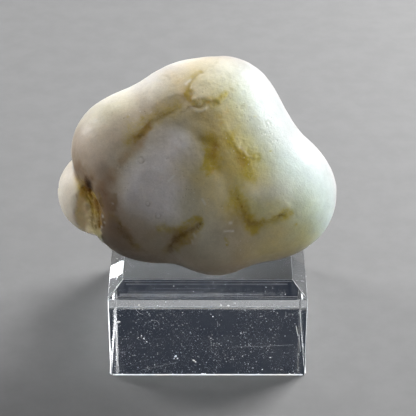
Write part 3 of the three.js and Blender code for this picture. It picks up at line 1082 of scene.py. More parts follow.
def stone_parts(points, z, bent, frayed, on_foot):
    """How far each point belongs to each part of the stone, from 0 to 1: the broad face, the back,
    the rim round it, the pits and the crust. The oval is a distance instead, inside its outline."""
    x, y, _ = points.T
    face = smooth_step(z, *FACE_DEPTHS)
    bent_x, bent_y = bent
    pit_x = (1 - PIT_WANDER) * x + PIT_WANDER * bent_x
    pit_y = (1 - PIT_WANDER) * y + PIT_WANDER * bent_y
    return {
        "face": face,
        "back": smooth_step(-z, *BACK_DEPTHS) * (1 - on_foot),
        "rim": smooth_step(-z, *RIM_DEPTHS) * (1 - on_foot),
        "oval": inside_distance(*bent, OVAL),
        "pits": pit_mask(pit_x, pit_y),
        "crust": stain_mask(*frayed, ROUGH_PATCHES) * face,
    }


def carve_face_and_back(points, z, bent, on_foot, parts):
    """Each point's z with the relief of the broad face or of the back, the chips of its broken and
    crusted places, and a faint ripple all over."""
    x, y, _ = points.T
    worn = 1 + layered_noise(points, *LEDGE_WEAR)
    face = side_relief(x, y, bent, FACE_LEDGES, FACE_SWELLS, FACE_LEDGE_STRENGTH * worn)
    face += OVAL_HEIGHT * smooth_step(parts["oval"], *OVAL_RIM)
    face -= PIT_DEPTH * parts["pits"] + HOLE_DEPTH * stain_mask(x, y, [HOLE])
    back = side_relief(x, y, bent, BACK_LEDGES, BACK_SWELLS, worn)
    chips = sum(height * chipped_noise(points, cell, seed) for height, cell, seed in CHIP_LAYERS)
    flat = parts["broken"] * (1 - smooth_step(x, *BREAK_CHIPS_END))
    rough = np.maximum(parts["broken"], parts["crust"])
    ripple = layered_noise(points, *BROAD_RIPPLE) + layered_noise(points, *FINE_RIPPLE)
    z = z + parts["face"] * face - parts["back"] * back + BREAK_CHIPS * flat * chips
    outer = np.sign(z) * smooth_step(np.abs(z), *RIPPLE_DEPTHS) * (1 - on_foot)
    return z + outer * (ripple + CRUST_CHIPS * rough * chips)


def outline_relief(points, directions, seam_depth, rim):
    """How far each point stands out from the stone's middle: the ripple and healed cracks of the
    rim, and each bump of the outline, height exp(-(a/w)^2) at the angle a from its way."""
    outwards = rim * (layered_noise(points, *SIDE_RIPPLE) - seam_depth)
    for way, width, height in OUTLINE_BUMPS:
        away = np.linalg.norm(directions - np.array(way) / np.linalg.norm(way), axis=1)
        outwards += height * np.exp(-((away / width) ** 2))
    return outwards


def forward_depth(y, z, slope):
    """z, counted as farther forward the lower a point lies on the stone's underside."""
    return z - slope * np.minimum(0, y - UNDERSIDE_TOP)


def wash_masks(bent, frayed, facing, back):
    """The stains and washes that wander, on the broad face and on the back."""
    masks = {name: facing * stain_mask(*frayed, stains) for name, stains in FACE_WASHES.items()}
    masks["ochre"] = np.maximum(masks["ochre"], facing * edge_stain_mask(*bent, EDGE_OCHRE))
    for name, stains in BACK_WASHES.items():
        masks[name] = masks[name] + back * stain_mask(*frayed, stains)
    return masks


def painted_shade_mask(y, z, bent, frayed):
    """Painted shade, where the quartz is painted darker: the lower left, and patches of the broad face."""
    shown = smooth_step(forward_depth(y, z, PAINTED_SHADE_UNDERSIDE), *PAINTED_SHADE_DEPTHS)
    # Where no painted shade lies.
    milky = (1 - border_mask(*bent, PAINTED_SHADE_BORDER, PAINTED_SHADE_WIDTH)) * (1 - stain_mask(*frayed, PAINTED_SHADE_PATCHES))
    return (1 - milky) * shown


def tint_masks(directions, place, bent, frayed, parts):
    """How strongly each tint, stain, painted shade and painted highlight shows at each point, from 0 to 1.
    """
    x, y, z = place
    facing = smooth_step(z, *TINT_DEPTHS)
    broken, side = parts["broken"], parts["side"]
    forward = forward_depth(y, z, DARK_UNDERSIDE)
    body_back, side_back = smooth_step(-z, *BACK_SHADE_DEPTHS), smooth_step(-z, *SIDE_LOBE_SHADE_DEPTHS)
    cloud = np.maximum(smooth_step(parts["oval"], *OVAL_TINT_RIM), stain_mask(*frayed, MILKY_WASH))
    edges = EDGE_PAINTED_SHADE_STRENGTH * facing * edge_stain_mask(*bent, EDGE_PAINTED_SHADE)
    masks = wash_masks(bent, frayed, facing, parts["back"])
    masks["ochre"] = masks["ochre"] + SEAM_STAIN * parts["rim"] * parts["seams"]
    masks["umber"] = np.maximum(masks["umber"], BREAK_LINE_STRENGTH * parts["break line"])
    masks.update({
        "rough": np.maximum(broken, parts["crust"]),
        "pits": facing * parts["pits"],
        # Dark marks, mostly painted shade along the bottom rim.
        "dark": stain_mask(x, y, DARK) * smooth_step(forward, *DARK_DEPTHS) * (1 - broken),
        "speckled": np.maximum(SPECKLED_LEAST, facing * stain_mask(x, y, SPECKLED)),
        # Painted glints: small white highlights.
        "glint": facing * stain_mask(x, y, GLINTS),
        # The mask named back is painted shade, darkening the back.
        "back": body_back * (1 - side) + side_back * side,
        "cloud": facing * cloud,
        "fracture": broken,
        "side": side,
        # Painted shade where the key lamp lights the stone most.
        "lamp_side_shade": smooth_step(directions @ np.array(LAMP_SIDE_WAY), *LAMP_SIDE_COSINES),
        "ice": border_mask(*bent, ICE_BORDER, ICE_WIDTH),
        # The mask named deep is painted shade: darker towards the lower left, the underside and under
        # ledges.
        "deep": painted_shade_mask(y, z, bent, frayed) * (1 - broken) + edges,
        # The mask named frosted is painted rim light, whitening the rim, sides and back.
        "frosted": 1 - smooth_step(forward, *RIM_LIGHT_DEPTHS),
    })
    return masks


def stone_surface(directions):
    """The stone's points and its masks. Each point of the body is broken, swollen and carved
    straight in or out of the broad face or the back, and everything else is left as it lies."""
    points, on_side, on_foot = stone_body(directions)
    x, y, _ = points.T
    z, broken, break_line = break_side_lobe(points)
    bent = wander(points, LEDGE_WANDER)
    frayed = wander(points, STAIN_WANDER)
    parts = stone_parts(points, z, bent, frayed, on_foot)
    parts |= {"side": on_side, "broken": broken, "break line": break_line}
    parts["seams"], seam_depth = seam_mask(points, layered_noise(points, *SEAM_BEND))
    z = carve_face_and_back(points, z, bent, on_foot, parts)
    outwards = outline_relief(points, directions, seam_depth, parts["rim"])
    carved = np.stack([x, y, z], axis=1) + directions * outwards[:, None]
    return carved, tint_masks(directions, (x, y, z), bent, frayed, parts)


def place_stone(points):
    """Turns the stone's own frame back by its lean and stands it on the block, in metres."""
    x, y, z = points.T * MM
    block_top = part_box("display_block")[1].z
    height = block_top + (REST_GAP + FOOT_DEPTH) * MM
    return np.stack([
        x + STONE_OFFSET[0] * MM,
        y * math.sin(LEAN) - z * math.cos(LEAN) + STONE_OFFSET[1] * MM,
        y * math.cos(LEAN) + z * math.sin(LEAN) + height,
    ], axis=1)


# ---------------------------------------------------------------------------------------------
# The block's surface.

def rounded_profile(corners, radius, steps):
    """A line (out, up) through the corners with each inner one rounded off: a point runs round
    its centre, radius r away, while the outward normal turns from one edge's to the next's."""
    points, normals = [], []
    for before, corner, after in zip(corners[:-2], corners[1:-1], corners[2:]):
        angles = []
        for start, end in ((before, corner), (corner, after)):
            angles.append(math.atan2(start[0] - end[0], end[1] - start[1]))
        first, second = [np.array([math.cos(a), math.sin(a)]) for a in angles]
        centre = np.array(corner) - radius * (first + second) / (1 + first @ second)
        turn = np.linspace(*angles, steps + 1)
        normal = np.stack([np.cos(turn), np.sin(turn)], axis=1)
        points.append(centre + radius * normal)
        normals.append(normal)
    return np.vstack(points), np.vstack(normals)


def block_surface(half_side, height):
    """The block's profile carried round a square with rounded corners: at each step of the
    profile, s out from the middle, a corner's point is (s - c) along both sides plus c times
    (cos t, sin t). Gives points, faces, normals and how far each point lies on a rounded edge,
    with a flat cap below and above."""
    inset = half_side - BLOCK_BEVEL
    corners = [(0, 0), (half_side, 0), (half_side, height - BLOCK_BEVEL), (inset, height), (0, height)]
    profile, outward = rounded_profile(corners, BLOCK_FILLET, FILLET_STEPS)
    quarter = np.radians(np.linspace(0, 90, CORNER_STEPS + 1))
    turn = np.concatenate([quarter + math.radians(90 * k) for k in range(4)])
    side_x = np.repeat([1, -1, -1, 1], len(quarter))
    side_y = np.repeat([1, 1, -1, -1], len(quarter))
    straight = profile[:, :1] - BLOCK_CORNER
    x = side_x * straight + BLOCK_CORNER * np.cos(turn)
    y = side_y * straight + BLOCK_CORNER * np.sin(turn)
    z = np.repeat(profile[:, 1:], len(turn), axis=1)

    spread = np.abs(np.cos(turn)) + np.abs(np.sin(turn))
    normals = np.stack([
        outward[:, :1] * np.cos(turn),
        outward[:, :1] * np.sin(turn),
        outward[:, 1:] * spread,
    ], axis=-1)
    normals /= np.linalg.norm(normals, axis=-1, keepdims=True)
    rounding = np.tile(np.sin(np.linspace(0, math.pi, FILLET_STEPS + 1)), len(corners) - 2)
    edge = np.maximum(rounding[:, None], np.abs(np.sin(2 * turn)))
    edge[[0, -1]] = 0

    index = np.arange(x.size).reshape(x.shape)
    after = np.roll(index, -1, axis=1)
    sides = np.stack([index[:-1], after[:-1], after[1:], index[1:]], axis=-1).reshape(-1, 4)
    faces = sides.tolist() + [index[0][::-1].tolist(), index[-1].tolist()]
    return np.stack([x, y, z], axis=-1).reshape(-1, 3), faces, normals.reshape(-1, 3), edge.reshape(-1)


# ---------------------------------------------------------------------------------------------
# What has settled on the block.

def block_faces(half_side, height):
    """The block's faces as pairs of a kind and a face. A face is its middle, its directions across,
    up and outward, and how far it reaches across and up. The front, the bevel over it and the
    edge at its foot are turned round +Z to the other sides."""
    slope = math.sqrt(0.5)
    low = (height - BLOCK_BEVEL) / 2
    mid = half_side - BLOCK_BEVEL / 2
    inset = half_side - BLOCK_BEVEL - LINT_MARGIN
    turned = {
        "front": ((0, -half_side, low), (1, 0, 0), (0, 0, 1), (0, -1, 0),
                  (half_side - 2 * LINT_MARGIN, low - LINT_MARGIN)),
        "bevel": ((0, -mid, height - BLOCK_BEVEL / 2), (1, 0, 0), (0, slope, slope), (0, -slope, slope),
                  (mid - 2 * LINT_MARGIN, BLOCK_BEVEL * slope - LINT_MARGIN)),
        "foot": ((0, -half_side, 1.25 * BLOCK_FILLET), (1, 0, 0), (0, 0, 1), (0, -1, 0),
                 (half_side - 2 * LINT_MARGIN, BLOCK_FILLET / 4)),
    }
    top = ((0, 0, height), (1, 0, 0), (0, 1, 0), (0, 0, 1), (inset, inset))
    faces = [("top", [np.array(v, float) for v in top])]
    for quarter in range(4):
        cosine, sine = round(math.cos(quarter * math.pi / 2)), round(math.sin(quarter * math.pi / 2))
        turn = np.array([(cosine, -sine, 0), (sine, cosine, 0), (0, 0, 1)])
        for kind, (*vectors, reach) in turned.items():
            shown = "side" if kind == "front" and quarter else kind
            faces.append((shown, [turn @ np.array(v, float) for v in vectors] + [np.array(reach, float)]))
    return faces


def grains(places, face, turns, long, wide):
    """Flattened eight-sided grains on a face: two corners along each grain's turned direction, two
    across it, and, less by the flatness, one over and one under its middle."""
    _, across, up, outward, _ = face
    cosine, sine = np.cos(turns)[:, None], np.sin(turns)[:, None]
    along = (across * cosine + up * sine) * long[:, None]
    beside = (up * cosine - across * sine) * wide[:, None]
    tall = outward * wide[:, None] * GRAIN_FLATNESS
    centre = places + tall
    corners = np.stack([centre + along, centre + beside, centre - along, centre - beside,
                        centre + tall, centre - tall], axis=1)
    pattern = np.array([(0, 1, 4), (1, 2, 4), (2, 3, 4), (3, 0, 4),
                        (1, 0, 5), (2, 1, 5), (3, 2, 5), (0, 3, 5)])
    faces = pattern + 6 * np.arange(len(corners))[:, None, None]
    return corners.reshape(-1, 3), faces.reshape(-1, 3).tolist()


def threads(places, face, headings, bends, lengths, radii):
    """Three-sided threads lying on a face. A thread's heading is h + b s at the share s of its
    length, and its line is the running sum of steps along it; its ends are closed."""
    _, across, up, outward, _ = face
    share = np.linspace(0, 1, THREAD_STEPS + 1)
    heading = headings[:, None] + bends[:, None] * share
    step = lengths[:, None] / THREAD_STEPS
    run = np.cumsum(np.cos(heading) * step, axis=1)
    rise = np.cumsum(np.sin(heading) * step, axis=1)
    line = places[:, None] + across * (run - run[:, :1])[..., None] + up * (rise - rise[:, :1])[..., None]
    beside = up * np.cos(heading)[..., None] - across * np.sin(heading)[..., None]
    corner_turn = np.radians([90, 210, 330])[:, None]
    radius = radii[:, None, None, None]
    corners = (
        line[:, :, None] + radius * beside[:, :, None] * np.cos(corner_turn)
        + radius * outward * (THREAD_LIFT + np.sin(corner_turn))
    )
    index = np.arange(corners[..., 0].size).reshape(corners.shape[:3])
    after = np.roll(index, -1, axis=2)
    sides = np.stack([index[:, :-1], index[:, 1:], after[:, 1:], after[:, :-1]], axis=-1).reshape(-1, 4)
    ends = np.vstack([index[:, 0], index[:, -1, ::-1]])
    return corners.reshape(-1, 3), sides.tolist() + ends.tolist()


def strewn_lint(rng, kind, face):
    """Grains and threads strewn over a face. Grains are drawn evenly and kept where a smooth noise
    is high, so that they gather in drifts, and most of them are small."""
    middle, across, up, _, reach = face
    grain_count, thread_count, turn_spread = LINT_COUNTS[kind]
    spots = rng.uniform(-1, 1, (2 * grain_count, 2)) * reach
    drift = lattice_noise(np.column_stack([spots, spots[:, 0]]), *LINT_DRIFT)
    spots = spots[drift + rng.uniform(-LINT_STRAY, LINT_STRAY, len(spots)) > 0][:grain_count]
    places = middle + spots[:, :1] * across + spots[:, 1:] * up
    shortest, longest = GRAIN_SIZES
    long = shortest + (longest - shortest) * rng.uniform(0, 1, len(spots)) ** GRAIN_RARITY
    wide = long * rng.uniform(GRAIN_SLIMNESS, 1, len(spots))
    turns = rng.uniform(-turn_spread, turn_spread, len(spots))
    thread_spots = rng.uniform(-THREAD_REACH, THREAD_REACH, (thread_count, 2)) * reach
    thread_places = middle + thread_spots[:, :1] * across + thread_spots[:, 1:] * up
    headings = rng.uniform(-math.pi, math.pi, thread_count)
    bends = rng.uniform(*THREAD_BENDS, thread_count)
    lengths = rng.uniform(*THREAD_LENGTHS, thread_count)
    radii = rng.uniform(*THREAD_RADII, thread_count)
    return [
        grains(places, face, turns, long, wide),
        threads(thread_places, face, headings, bends, lengths, radii),
    ]


def placed_lint(face, flecks, marks):
    """Single flecks, and threads, at given places on a face, measured from its middle."""
    middle, across, up, _, _ = face
    x, rise, size = np.array(flecks).T
    turns = np.linspace(0, FLECK_TURNS, len(flecks))
    long_share, wide_share = FLECK_SHAPE
    fleck_places = middle + x[:, None] * across + rise[:, None] * up
    mark_x, mark_rise, heading, bend, length, radius = np.array(marks).T
    mark_places = middle + mark_x[:, None] * across + mark_rise[:, None] * up
    return [
        grains(fleck_places, face, turns, long_share * size, wide_share * size),
        threads(mark_places, face, np.radians(heading), np.radians(bend), length, radius),
    ]


def join_surfaces(surfaces):
    """Several surfaces as one, the faces of each counting on from the points before it. Each comes
    with how much it glows, and the last array gives that for every point."""
    points, faces, glows = [], [], []
    for (surface_points, surface_faces), glow in surfaces:
        count = sum(len(before) for before in points)
        points.append(surface_points)
        faces += [[corner + count for corner in face] for face in surface_faces]
        glows.append(np.full(len(surface_points), glow))
    return np.vstack(points), faces, np.concatenate(glows)


def lint_surface(half_side, height):
    """All the lint on the block: what is placed on its front, on the bevel over it and on its
    bottom edges, and what is strewn over every face. Each surface comes with its glow."""
    rng = np.random.default_rng(LINT_SEED)
    faces = block_faces(half_side, height)
    front = next(face for kind, face in faces if kind == "front")
    bevel = next(face for kind, face in faces if kind == "bevel")
    feet = [face for kind, face in faces if kind == "foot"]
    placed = [
        (front, FRONT_FLECKS, FRONT_THREADS, (FLECK_GLOW, LINE_GLOW)),
        (bevel, BEVEL_FLECKS, BEVEL_THREADS, (FLECK_GLOW, LINE_GLOW)),
        # The front bottom edge glows brightly: a painted highlight of the edge.
        (feet[0], FOOT_FLECKS, FOOT_GLOW_LINES, (FLECK_GLOW, FLECK_GLOW)),
    ]
    placed += [(face, FOOT_FLECKS, FOOT_GLOW_LINES, (DUST_GLOW, DUST_GLOW)) for face in feet[1:]]
    lint = []
    for face, flecks, lines, glows in placed:
        lint += zip(placed_lint(face, flecks, lines), glows)
    for kind, face in faces:
        lint += [(surface, DUST_GLOW) for surface in strewn_lint(rng, kind, face)]
    return join_surfaces(lint)


# ---------------------------------------------------------------------------------------------
# Meshes.

def make_mesh(name, points, faces, material, smooth=True):
    """A mesh object from an array of points in metres and a list of faces."""
    mesh = bpy.data.meshes.new(name)
    mesh.from_pydata(points.tolist(), [], faces)
    mesh.polygons.foreach_set("use_smooth", np.full(len(faces), smooth))
    mesh.materials.append(material)
    mesh.update()
    piece = bpy.data.objects.new(name, mesh)
    bpy.context.scene.collection.objects.link(piece)
    return piece


def add_masks(piece, masks):
    """Stores arrays of values from 0 to 1, one for each point, as named attributes."""
    for name, values in masks.items():
        attribute = piece.data.attributes.new(name, "FLOAT", "POINT")
        attribute.data.foreach_set("value", np.clip(values, 0, 1).astype(np.float32))


# ---------------------------------------------------------------------------------------------
# Shader nodes.

def connect(tree, socket, value):
    """Links another node's output to a socket, or sets the socket's plain value."""
    if isinstance(value, bpy.types.NodeSocket):
        tree.links.new(value, socket)
    elif socket.type == "RGBA":
        socket.default_value = (*value, 1)
    else:
        socket.default_value = value


def node(tree, kind, inputs=None, **settings):
    """Adds one node with its settings and the values or links of its inputs."""
    made = tree.nodes.new(kind)
    for name, value in settings.items():
        setattr(made, name, value)
    for name, value in (inputs or {}).items():
        connect(tree, made.inputs[name], value)
    return made


def math_node(tree, operation, a, b=0.0, clamp=False):
    """The result of one arithmetic operation on two values."""
    return node(tree, "ShaderNodeMath", {0: a, 1: b}, operation=operation, use_clamp=clamp).outputs[0]


def times(tree, *values):
    """The product of several values."""
    product = values[0]
    for value in values[1:]:
        product = math_node(tree, "MULTIPLY", product, value)
    return product


def blend_colour(tree, share, base, top, mode="MIX"):
    """One colour laid over another. Inputs 6 and 7 and output 2 are the Mix node's colours."""
    mix = node(tree, "ShaderNodeMix", {"Factor": share, 6: base, 7: top}, data_type="RGBA", blend_type=mode)
    return mix.outputs[2]


def remap(tree, value, low, high, to_low=0.0, to_high=1.0, smooth=True):
    """A value carried over from one range to another and held at its ends."""
    return node(
        tree, "ShaderNodeMapRange",
        {"Value": value, "From Min": low, "From Max": high, "To Min": to_low, "To Max": to_high},
        interpolation_type="SMOOTHSTEP" if smooth else "LINEAR",
    ).outputs["Result"]


def spread_noise(tree, noise, to_low, to_high, smooth=True):
    """A noise stretched so that its usual range, 0.3 to 0.7, covers the given one."""
    return remap(tree, noise, 0.3, 0.7, to_low, to_high, smooth)


def mask_value(tree, name):
    """The value stored on the surface under this name."""
    return node(tree, "ShaderNodeAttribute", attribute_name=name).outputs["Fac"]


def bump(tree, height, strength, distance):
    """A normal raised by a height, with its full rise in metres."""
    inputs = {"Height": height, "Strength": strength, "Distance": distance}
    return node(tree, "ShaderNodeBump", inputs).outputs["Normal"]


def object_place(tree):
    """Where each point lies in its piece, in metres."""
    return node(tree, "ShaderNodeTexCoord").outputs["Object"]


def noise_value(tree, vector, scale, detail=3.0, roughness=0.5, distortion=0.0):
    """A soft noise, mostly between 0.3 and 0.7, with scale features to the metre."""
    return node(
        tree, "ShaderNodeTexNoise",
        {"Vector": vector, "Scale": scale, "Detail": detail, "Roughness": roughness,
         "Distortion": distortion},
    ).outputs["Fac"]


def new_material(name, colour, roughness, settings=None):
    """A material with its shader's base colour, roughness and further plain settings. Gives the
    material, its node tree and the shader."""
    material = bpy.data.materials.new(name)
    material.use_nodes = True
    tree = material.node_tree
    shader = tree.nodes["Principled BSDF"]
    values = {"Base Color": colour, "Roughness": roughness} | (settings or {})
    for label, value in values.items():
        connect(tree, shader.inputs[label], value)
    return material, tree, shader


def finish_shader(tree, shader, colour=None, roughness=None, normal=None):
    """Links what changes over the surface to the shader."""
    links = {"Base Color": colour, "Roughness": roughness, "Normal": normal}
    for label, value in links.items():
        if value is not None:
            tree.links.new(value, shader.inputs[label])


# ---------------------------------------------------------------------------------------------
# Effects shared by several materials.

def new_group(name, numbers, output):
    """A node group with a vector input, named number inputs and one number output. Gives the
    group, the sockets that its inputs come in at and the socket of its output."""
    group = bpy.data.node_groups.new(name, "ShaderNodeTree")
    group.interface.new_socket("Vector", in_out="INPUT", socket_type="NodeSocketVector")
    for label, value in numbers.items():
        socket = group.interface.new_socket(label, in_out="INPUT", socket_type="NodeSocketFloat")
        socket.default_value = value
    group.interface.new_socket(output, in_out="OUTPUT", socket_type="NodeSocketFloat")
    inputs = group.nodes.new("NodeGroupInput").outputs
    return group, inputs, group.nodes.new("NodeGroupOutput").inputs[output]


def group_value(tree, group, inputs):
    """The output of a node group with the given inputs."""
    return node(tree, "ShaderNodeGroup", inputs, node_tree=group).outputs[0]


def fine_grain_group():
    """An even grain of the given scale, spread from Low to High."""
    group, inputs, output = new_group("fine_grain", {"Scale": 900.0, "Low": 0.0, "High": 1.0}, "Grain")
    noise = noise_value(group, inputs["Vector"], inputs["Scale"], 5, 0.65)
    group.links.new(spread_noise(group, noise, inputs["Low"], inputs["High"]), output)
    return group


def grain_value(tree, fine_grain, place, spread=(0, 1), scale=900):
    """The fine grain at a place, spread over the given range."""
    low, high = spread
    return group_value(tree, fine_grain, {"Vector": place, "Scale": scale, "Low": low, "High": high})


def hairlines_group():
    """Thin lines where a noise, stretched along one turned direction, passes through its middle
    value. They are broken up by a coarser noise."""
    group, inputs, output = new_group("hairlines", SCRATCHES, "Lines")
    turned = node(group, "ShaderNodeVectorRotate", {"Vector": inputs["Vector"], "Angle": inputs["Turn"]},
                  rotation_type="AXIS_ANGLE")
    turned.inputs["Axis"].default_value = SCRATCH_AXIS
    axes = node(group, "ShaderNodeSeparateXYZ", {0: turned.outputs[0]}).outputs
    along = times(group, axes[0], inputs["Stretch"])
    stretched = node(group, "ShaderNodeCombineXYZ", {0: along, 1: axes[1], 2: axes[2]}).outputs[0]
    noise = noise_value(group, stretched, inputs["Scale"], 1, 0.5)
    away = math_node(group, "ABSOLUTE", math_node(group, "SUBTRACT", noise, 0.5))
    line = remap(group, away, 0, inputs["Width"], 1, 0)
    patches = remap(group, noise_value(group, inputs["Vector"], *SCRATCH_PATCHES), *SCRATCH_PATCH_EDGE)
    group.links.new(times(group, line, patches), output)
    return group


def specks_group():
    """Small round specks, one in each cell of a scattered pattern whose own random value is below
    Share. Size is a speck's radius as a share of its cell."""
    group, inputs, output = new_group("specks", {"Scale": 1500.0, "Size": 0.3, "Share": 0.5}, "Specks")
    cells = node(group, "ShaderNodeTexVoronoi", {"Vector": inputs["Vector"], "Scale": inputs["Scale"]})
    chance = node(group, "ShaderNodeSeparateColor", {0: cells.outputs["Color"]}).outputs[0]
    chosen = math_node(group, "LESS_THAN", chance, inputs["Share"])
    core = times(group, inputs["Size"], 0.5)
    dot = remap(group, cells.outputs["Distance"], core, inputs["Size"], 1, 0)
    group.links.new(times(group, dot, chosen), output)
    return group


# ---------------------------------------------------------------------------------------------
# Materials.

def quartz_tint(tree):
    """The quartz's colour: its tints over one another, darkened by painted shade, whitened by painted rim
    light.
    """
    colour = QUARTZ_STRAW
    for name, tint in QUARTZ_TINTS.items():
        colour = blend_colour(tree, mask_value(tree, name), colour, tint)
    # The mask named deep is painted shade.
    colour = blend_colour(tree, mask_value(tree, "deep"), colour, QUARTZ_PAINTED_SHADE, "MULTIPLY")
    # The mask named frosted is painted rim light, whitening the rim, sides and back.
    frosted = times(tree, mask_value(tree, "frosted"), RIM_LIGHT_SHARE)
    colour = blend_colour(tree, frosted, colour, QUARTZ_RIM_LIGHT)
    # The side lobe's tint: partly its own colour, partly a painted glow of light shining through it.
    return blend_colour(tree, mask_value(tree, "side"), colour, QUARTZ_SIDE)


def quartz_noises(tree, place):
    """The noises that mottle the quartz: broad drifts, fine veils, tiny specks and middling mottle,
    and a patchy mix of the last two."""
    noises = {name: noise_value(tree, place, *values) for name, values in QUARTZ_NOISES.items()}
    mottle = times(tree, noises["mottle"], MOTTLE_SHARE)
    specks = times(tree, noises["specks"], 1 - MOTTLE_SHARE)
    noises["patchy"] = math_node(tree, "ADD", mottle, specks)
    return noises


def cloudy(tree, colour, noises):
    """A colour made lighter and darker by broad drifts, fine veils and tiny specks."""
    veils = spread_noise(tree, noises["veils"], *VEIL_SHADES)
    specks = spread_noise(tree, noises["specks"], *SPECK_SHADES)
    drift = spread_noise(tree, noises["drift"], *DRIFT_SHADES)
    shade = math_node(tree, "ADD", drift, math_node(tree, "ADD", veils, specks))
    grey = node(tree, "ShaderNodeCombineColor", {0: shade, 1: shade, 2: shade}).outputs[0]
    return blend_colour(tree, 1.0, colour, grey, "MULTIPLY")


def broken_stain(tree, name, noise):
    """A stain whose strength is its mask times a noise, so that it is mottled and has no line for
    an edge."""
    mottle = spread_noise(tree, noise, *STAIN_MOTTLE, smooth=False)
    return remap(tree, times(tree, mask_value(tree, name), mottle), *STAIN_STRENGTHS)


def stain_and_shade(tree, colour, noises):
    """A colour under the quartz's washes, stains, worn pits and crust, and under painted shade on the back,
    the lamp side and the bottom rim.
    """
    olive_drift = spread_noise(tree, noises["drift"], *OLIVE_DRIFT)
    worn_pits = times(tree, mask_value(tree, "pits"), spread_noise(tree, noises["veils"], *PIT_VEILS))
    shares = {
        "olive": times(tree, mask_value(tree, "olive"), olive_drift),
        "lemon": mask_value(tree, "lemon"),
        "fracture": mask_value(tree, "fracture"),
        "rust": broken_stain(tree, "rust", noises["drift"]),
        "ochre": broken_stain(tree, "ochre", noises["patchy"]),
        "umber": broken_stain(tree, "umber", noises["patchy"]),
        # Dark marks, mostly painted shade along the bottom rim.
        "dark": mask_value(tree, "dark"),
        "pits": remap(tree, worn_pits, 0.2, 1, 0, PIT_SHARE),
        "rough": times(tree, mask_value(tree, "rough"), CRUST_SHARE),
        # The mask named back is painted shade.
        "back": mask_value(tree, "back"),
        # Painted shade where the key lamp lights the stone most.
        "lamp_side_shade": mask_value(tree, "lamp_side_shade"),
    }
    for name, share in shares.items():
        colour = blend_colour(tree, share, colour, QUARTZ_STAINS_AND_SHADE[name], "MULTIPLY")
    return colour


def speckle(tree, colour, place, specks_pattern):
    """A colour with clusters of tiny dark dots, and with small painted sparkles and painted glints. Also
    gives the dots' mask."""
    speckled = mask_value(tree, "speckled")
    clusters = remap(tree, noise_value(tree, place, CLUSTER_SCALE, 2), *CLUSTER_EDGE)
    dots = group_value(tree, specks_pattern, {"Vector": place} | DOTS)
    dots = times(tree, dots, speckled, clusters)
    colour = blend_colour(tree, times(tree, dots, DOT_SHARE), colour, QUARTZ_DOTS, "MULTIPLY")
    sparkles = group_value(tree, specks_pattern, {"Vector": place} | SPARKLES)
    sparkles = times(tree, sparkles, speckled, SPARKLE_SHARE)
    glints = math_node(tree, "MAXIMUM", sparkles, mask_value(tree, "glint"))
    return blend_colour(tree, glints, colour, QUARTZ_GLINT), dots


def quartz_material(fine_grain, specks_pattern):
    """Milky quartz, tinted, with stains, painted shade and painted highlights, and light scattered under it.
    """
    material, tree, shader = new_material(
        "milky_quartz", QUARTZ_STRAW, QUARTZ_PLAIN_ROUGHNESS, QUARTZ_SCATTERING
    )
    place = object_place(tree)
    noises = quartz_noises(tree, place)
    colour = stain_and_shade(tree, cloudy(tree, quartz_tint(tree), noises), noises)
    colour, dots = speckle(tree, colour, place, specks_pattern)
    roughness = grain_value(tree, fine_grain, place, QUARTZ_ROUGHNESS)
    grain = grain_value(tree, fine_grain, place, QUARTZ_GRAIN)
    height = math_node(tree, "SUBTRACT", grain, times(tree, dots, DOT_DENT))
    finish_shader(tree, shader, colour, roughness, bump(tree, height, *QUARTZ_BUMP))
    return material


def acrylic_material(fine_grain, hairlines):
    """Clear acrylic with faint smears, hairline scratches and frosted edges."""
    material, tree, shader = new_material(
        "clear_acrylic", ACRYLIC_COLOUR, ACRYLIC_PLAIN_ROUGHNESS, ACRYLIC_CLEARNESS
    )
    place = object_place(tree)
    smears = grain_value(tree, fine_grain, place, ACRYLIC_SMEARS, ACRYLIC_SMEAR_SCALE)
    scratches = group_value(tree, hairlines, {"Vector": place})
    worn = math_node(tree, "ADD", smears, times(tree, scratches, SCRATCH_ROUGHNESS))
    frosted = times(tree, mask_value(tree, "edge"), EDGE_FROST)
    roughness = math_node(tree, "MAXIMUM", worn, frosted, clamp=True)
    finish_shader(tree, shader, roughness=roughness, normal=bump(tree, scratches, *ACRYLIC_BUMP))
    return material


def lint_material(fine_grain):
    """Pale fibres and grains, each a little different, with a painted glow for the light in the block."""
    material, tree, shader = new_material(
        "pale_lint", LINT_COLOURS[0], LINT_ROUGHNESS, {"Emission Strength": 1}
    )
    tone = grain_value(tree, fine_grain, object_place(tree), scale=LINT_TONE_SCALE)
    colour = blend_colour(tree, tone, *LINT_COLOURS)
    glow = blend_colour(tree, mask_value(tree, "glow"), (0, 0, 0), colour)
    tree.links.new(glow, shader.inputs["Emission Color"])
    finish_shader(tree, shader, colour)
    return material


def floor_material(fine_grain):
    """A plain pale floor with a faint grain."""
    material, tree, shader = new_material("pale_floor", FLOOR_COLOURS[0], FLOOR_ROUGHNESS)
    tone = grain_value(tree, fine_grain, object_place(tree), scale=FLOOR_TONE_SCALE)
    finish_shader(tree, shader, blend_colour(tree, tone, *FLOOR_COLOURS))
    return material


# ---------------------------------------------------------------------------------------------
# The pieces.

def build_stone(material):
    """The stone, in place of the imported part's own."""
    directions, quads = cube_grid(STONE_STEPS)
    points, masks = stone_surface(directions)
    stone = make_mesh("quartz", place_stone(points), quads.tolist(), material)
    add_masks(stone, masks)
    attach(stone, "root")
    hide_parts("quartz_stone")


def build_block(material):
    """The block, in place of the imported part's own, with the smooth normals of its formula."""
    _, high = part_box("display_block")
    points, faces, normals, edge = block_surface(high.x / MM, high.z / MM)
    block = make_mesh("block", points * MM, faces, material)
    add_masks(block, {"edge": edge})
    block.data.normals_split_custom_set_from_vertices(normals.tolist())
    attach(block, "root")
    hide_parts("display_block")


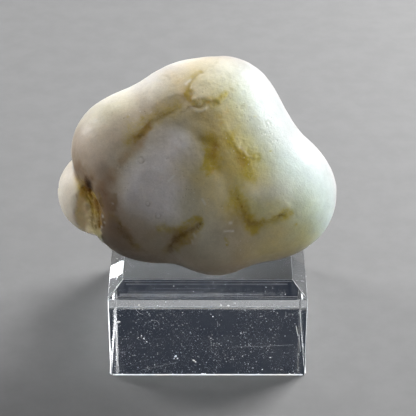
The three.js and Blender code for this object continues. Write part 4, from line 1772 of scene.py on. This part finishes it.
def build_lint(material):
    """Everything that has settled on the block, as one piece."""
    _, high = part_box("display_block")
    points, faces, glow = lint_surface(high.x / MM, high.z / MM)
    lint = make_mesh("block_lint", points * MM, faces, material, smooth=False)
    add_masks(lint, {"glow": glow})
    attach(lint, "root")


# ---------------------------------------------------------------------------------------------
# Stage, lights and camera.

def aim(holder, target):
    """Turns a lamp or a camera to face a point."""
    holder.rotation_euler = (Vector(target) - holder.location).to_track_quat("-Z", "Y").to_euler()


def make_softbox(name, place, target, size, watts):
    """A soft rectangular lamp."""
    light = bpy.data.lights.new(name, "AREA")
    light.shape = "RECTANGLE"
    light.size, light.size_y = size
    light.energy = watts
    holder = bpy.data.objects.new(name, light)
    bpy.context.scene.collection.objects.link(holder)
    holder.location = place
    aim(holder, target)


def make_floor(material):
    """A plain square floor just under the block."""
    corners = FLOOR_SIDE * np.array([(-1, -1, 0), (1, -1, 0), (1, 1, 0), (-1, 1, 0)]) - (0, 0, FLOOR_DROP)
    make_mesh("floor", corners, [[0, 1, 2, 3]], material, smooth=False)


def make_world():
    """The dim studio round the stage, with colours shown as they are."""
    world = bpy.data.worlds.new("studio")
    world.use_nodes = True
    world.node_tree.nodes["Background"].inputs["Color"].default_value = (*STUDIO_DIM, 1)
    bpy.context.scene.world = world
    bpy.context.scene.view_settings.view_transform = "Standard"


def make_camera():
    """A camera in front of the block and above it, looking at the middle of the whole object."""
    camera = bpy.data.cameras.new("camera")
    camera.sensor_width = CAMERA_SENSOR
    camera.lens = CAMERA_LENS
    holder = bpy.data.objects.new("camera", camera)
    bpy.context.scene.collection.objects.link(holder)
    back = Vector((0, -math.cos(CAMERA_ELEVATION), math.sin(CAMERA_ELEVATION)))
    holder.location = Vector(CAMERA_TARGET) + CAMERA_DISTANCE * back
    aim(holder, CAMERA_TARGET)
    bpy.context.scene.camera = holder


fine_grain = fine_grain_group()
build_stone(quartz_material(fine_grain, specks_group()))
build_block(acrylic_material(fine_grain, hairlines_group()))
build_lint(lint_material(fine_grain))
make_floor(floor_material(fine_grain))
for lamp in SOFTBOXES:
    make_softbox(*lamp)
make_world()
make_camera()
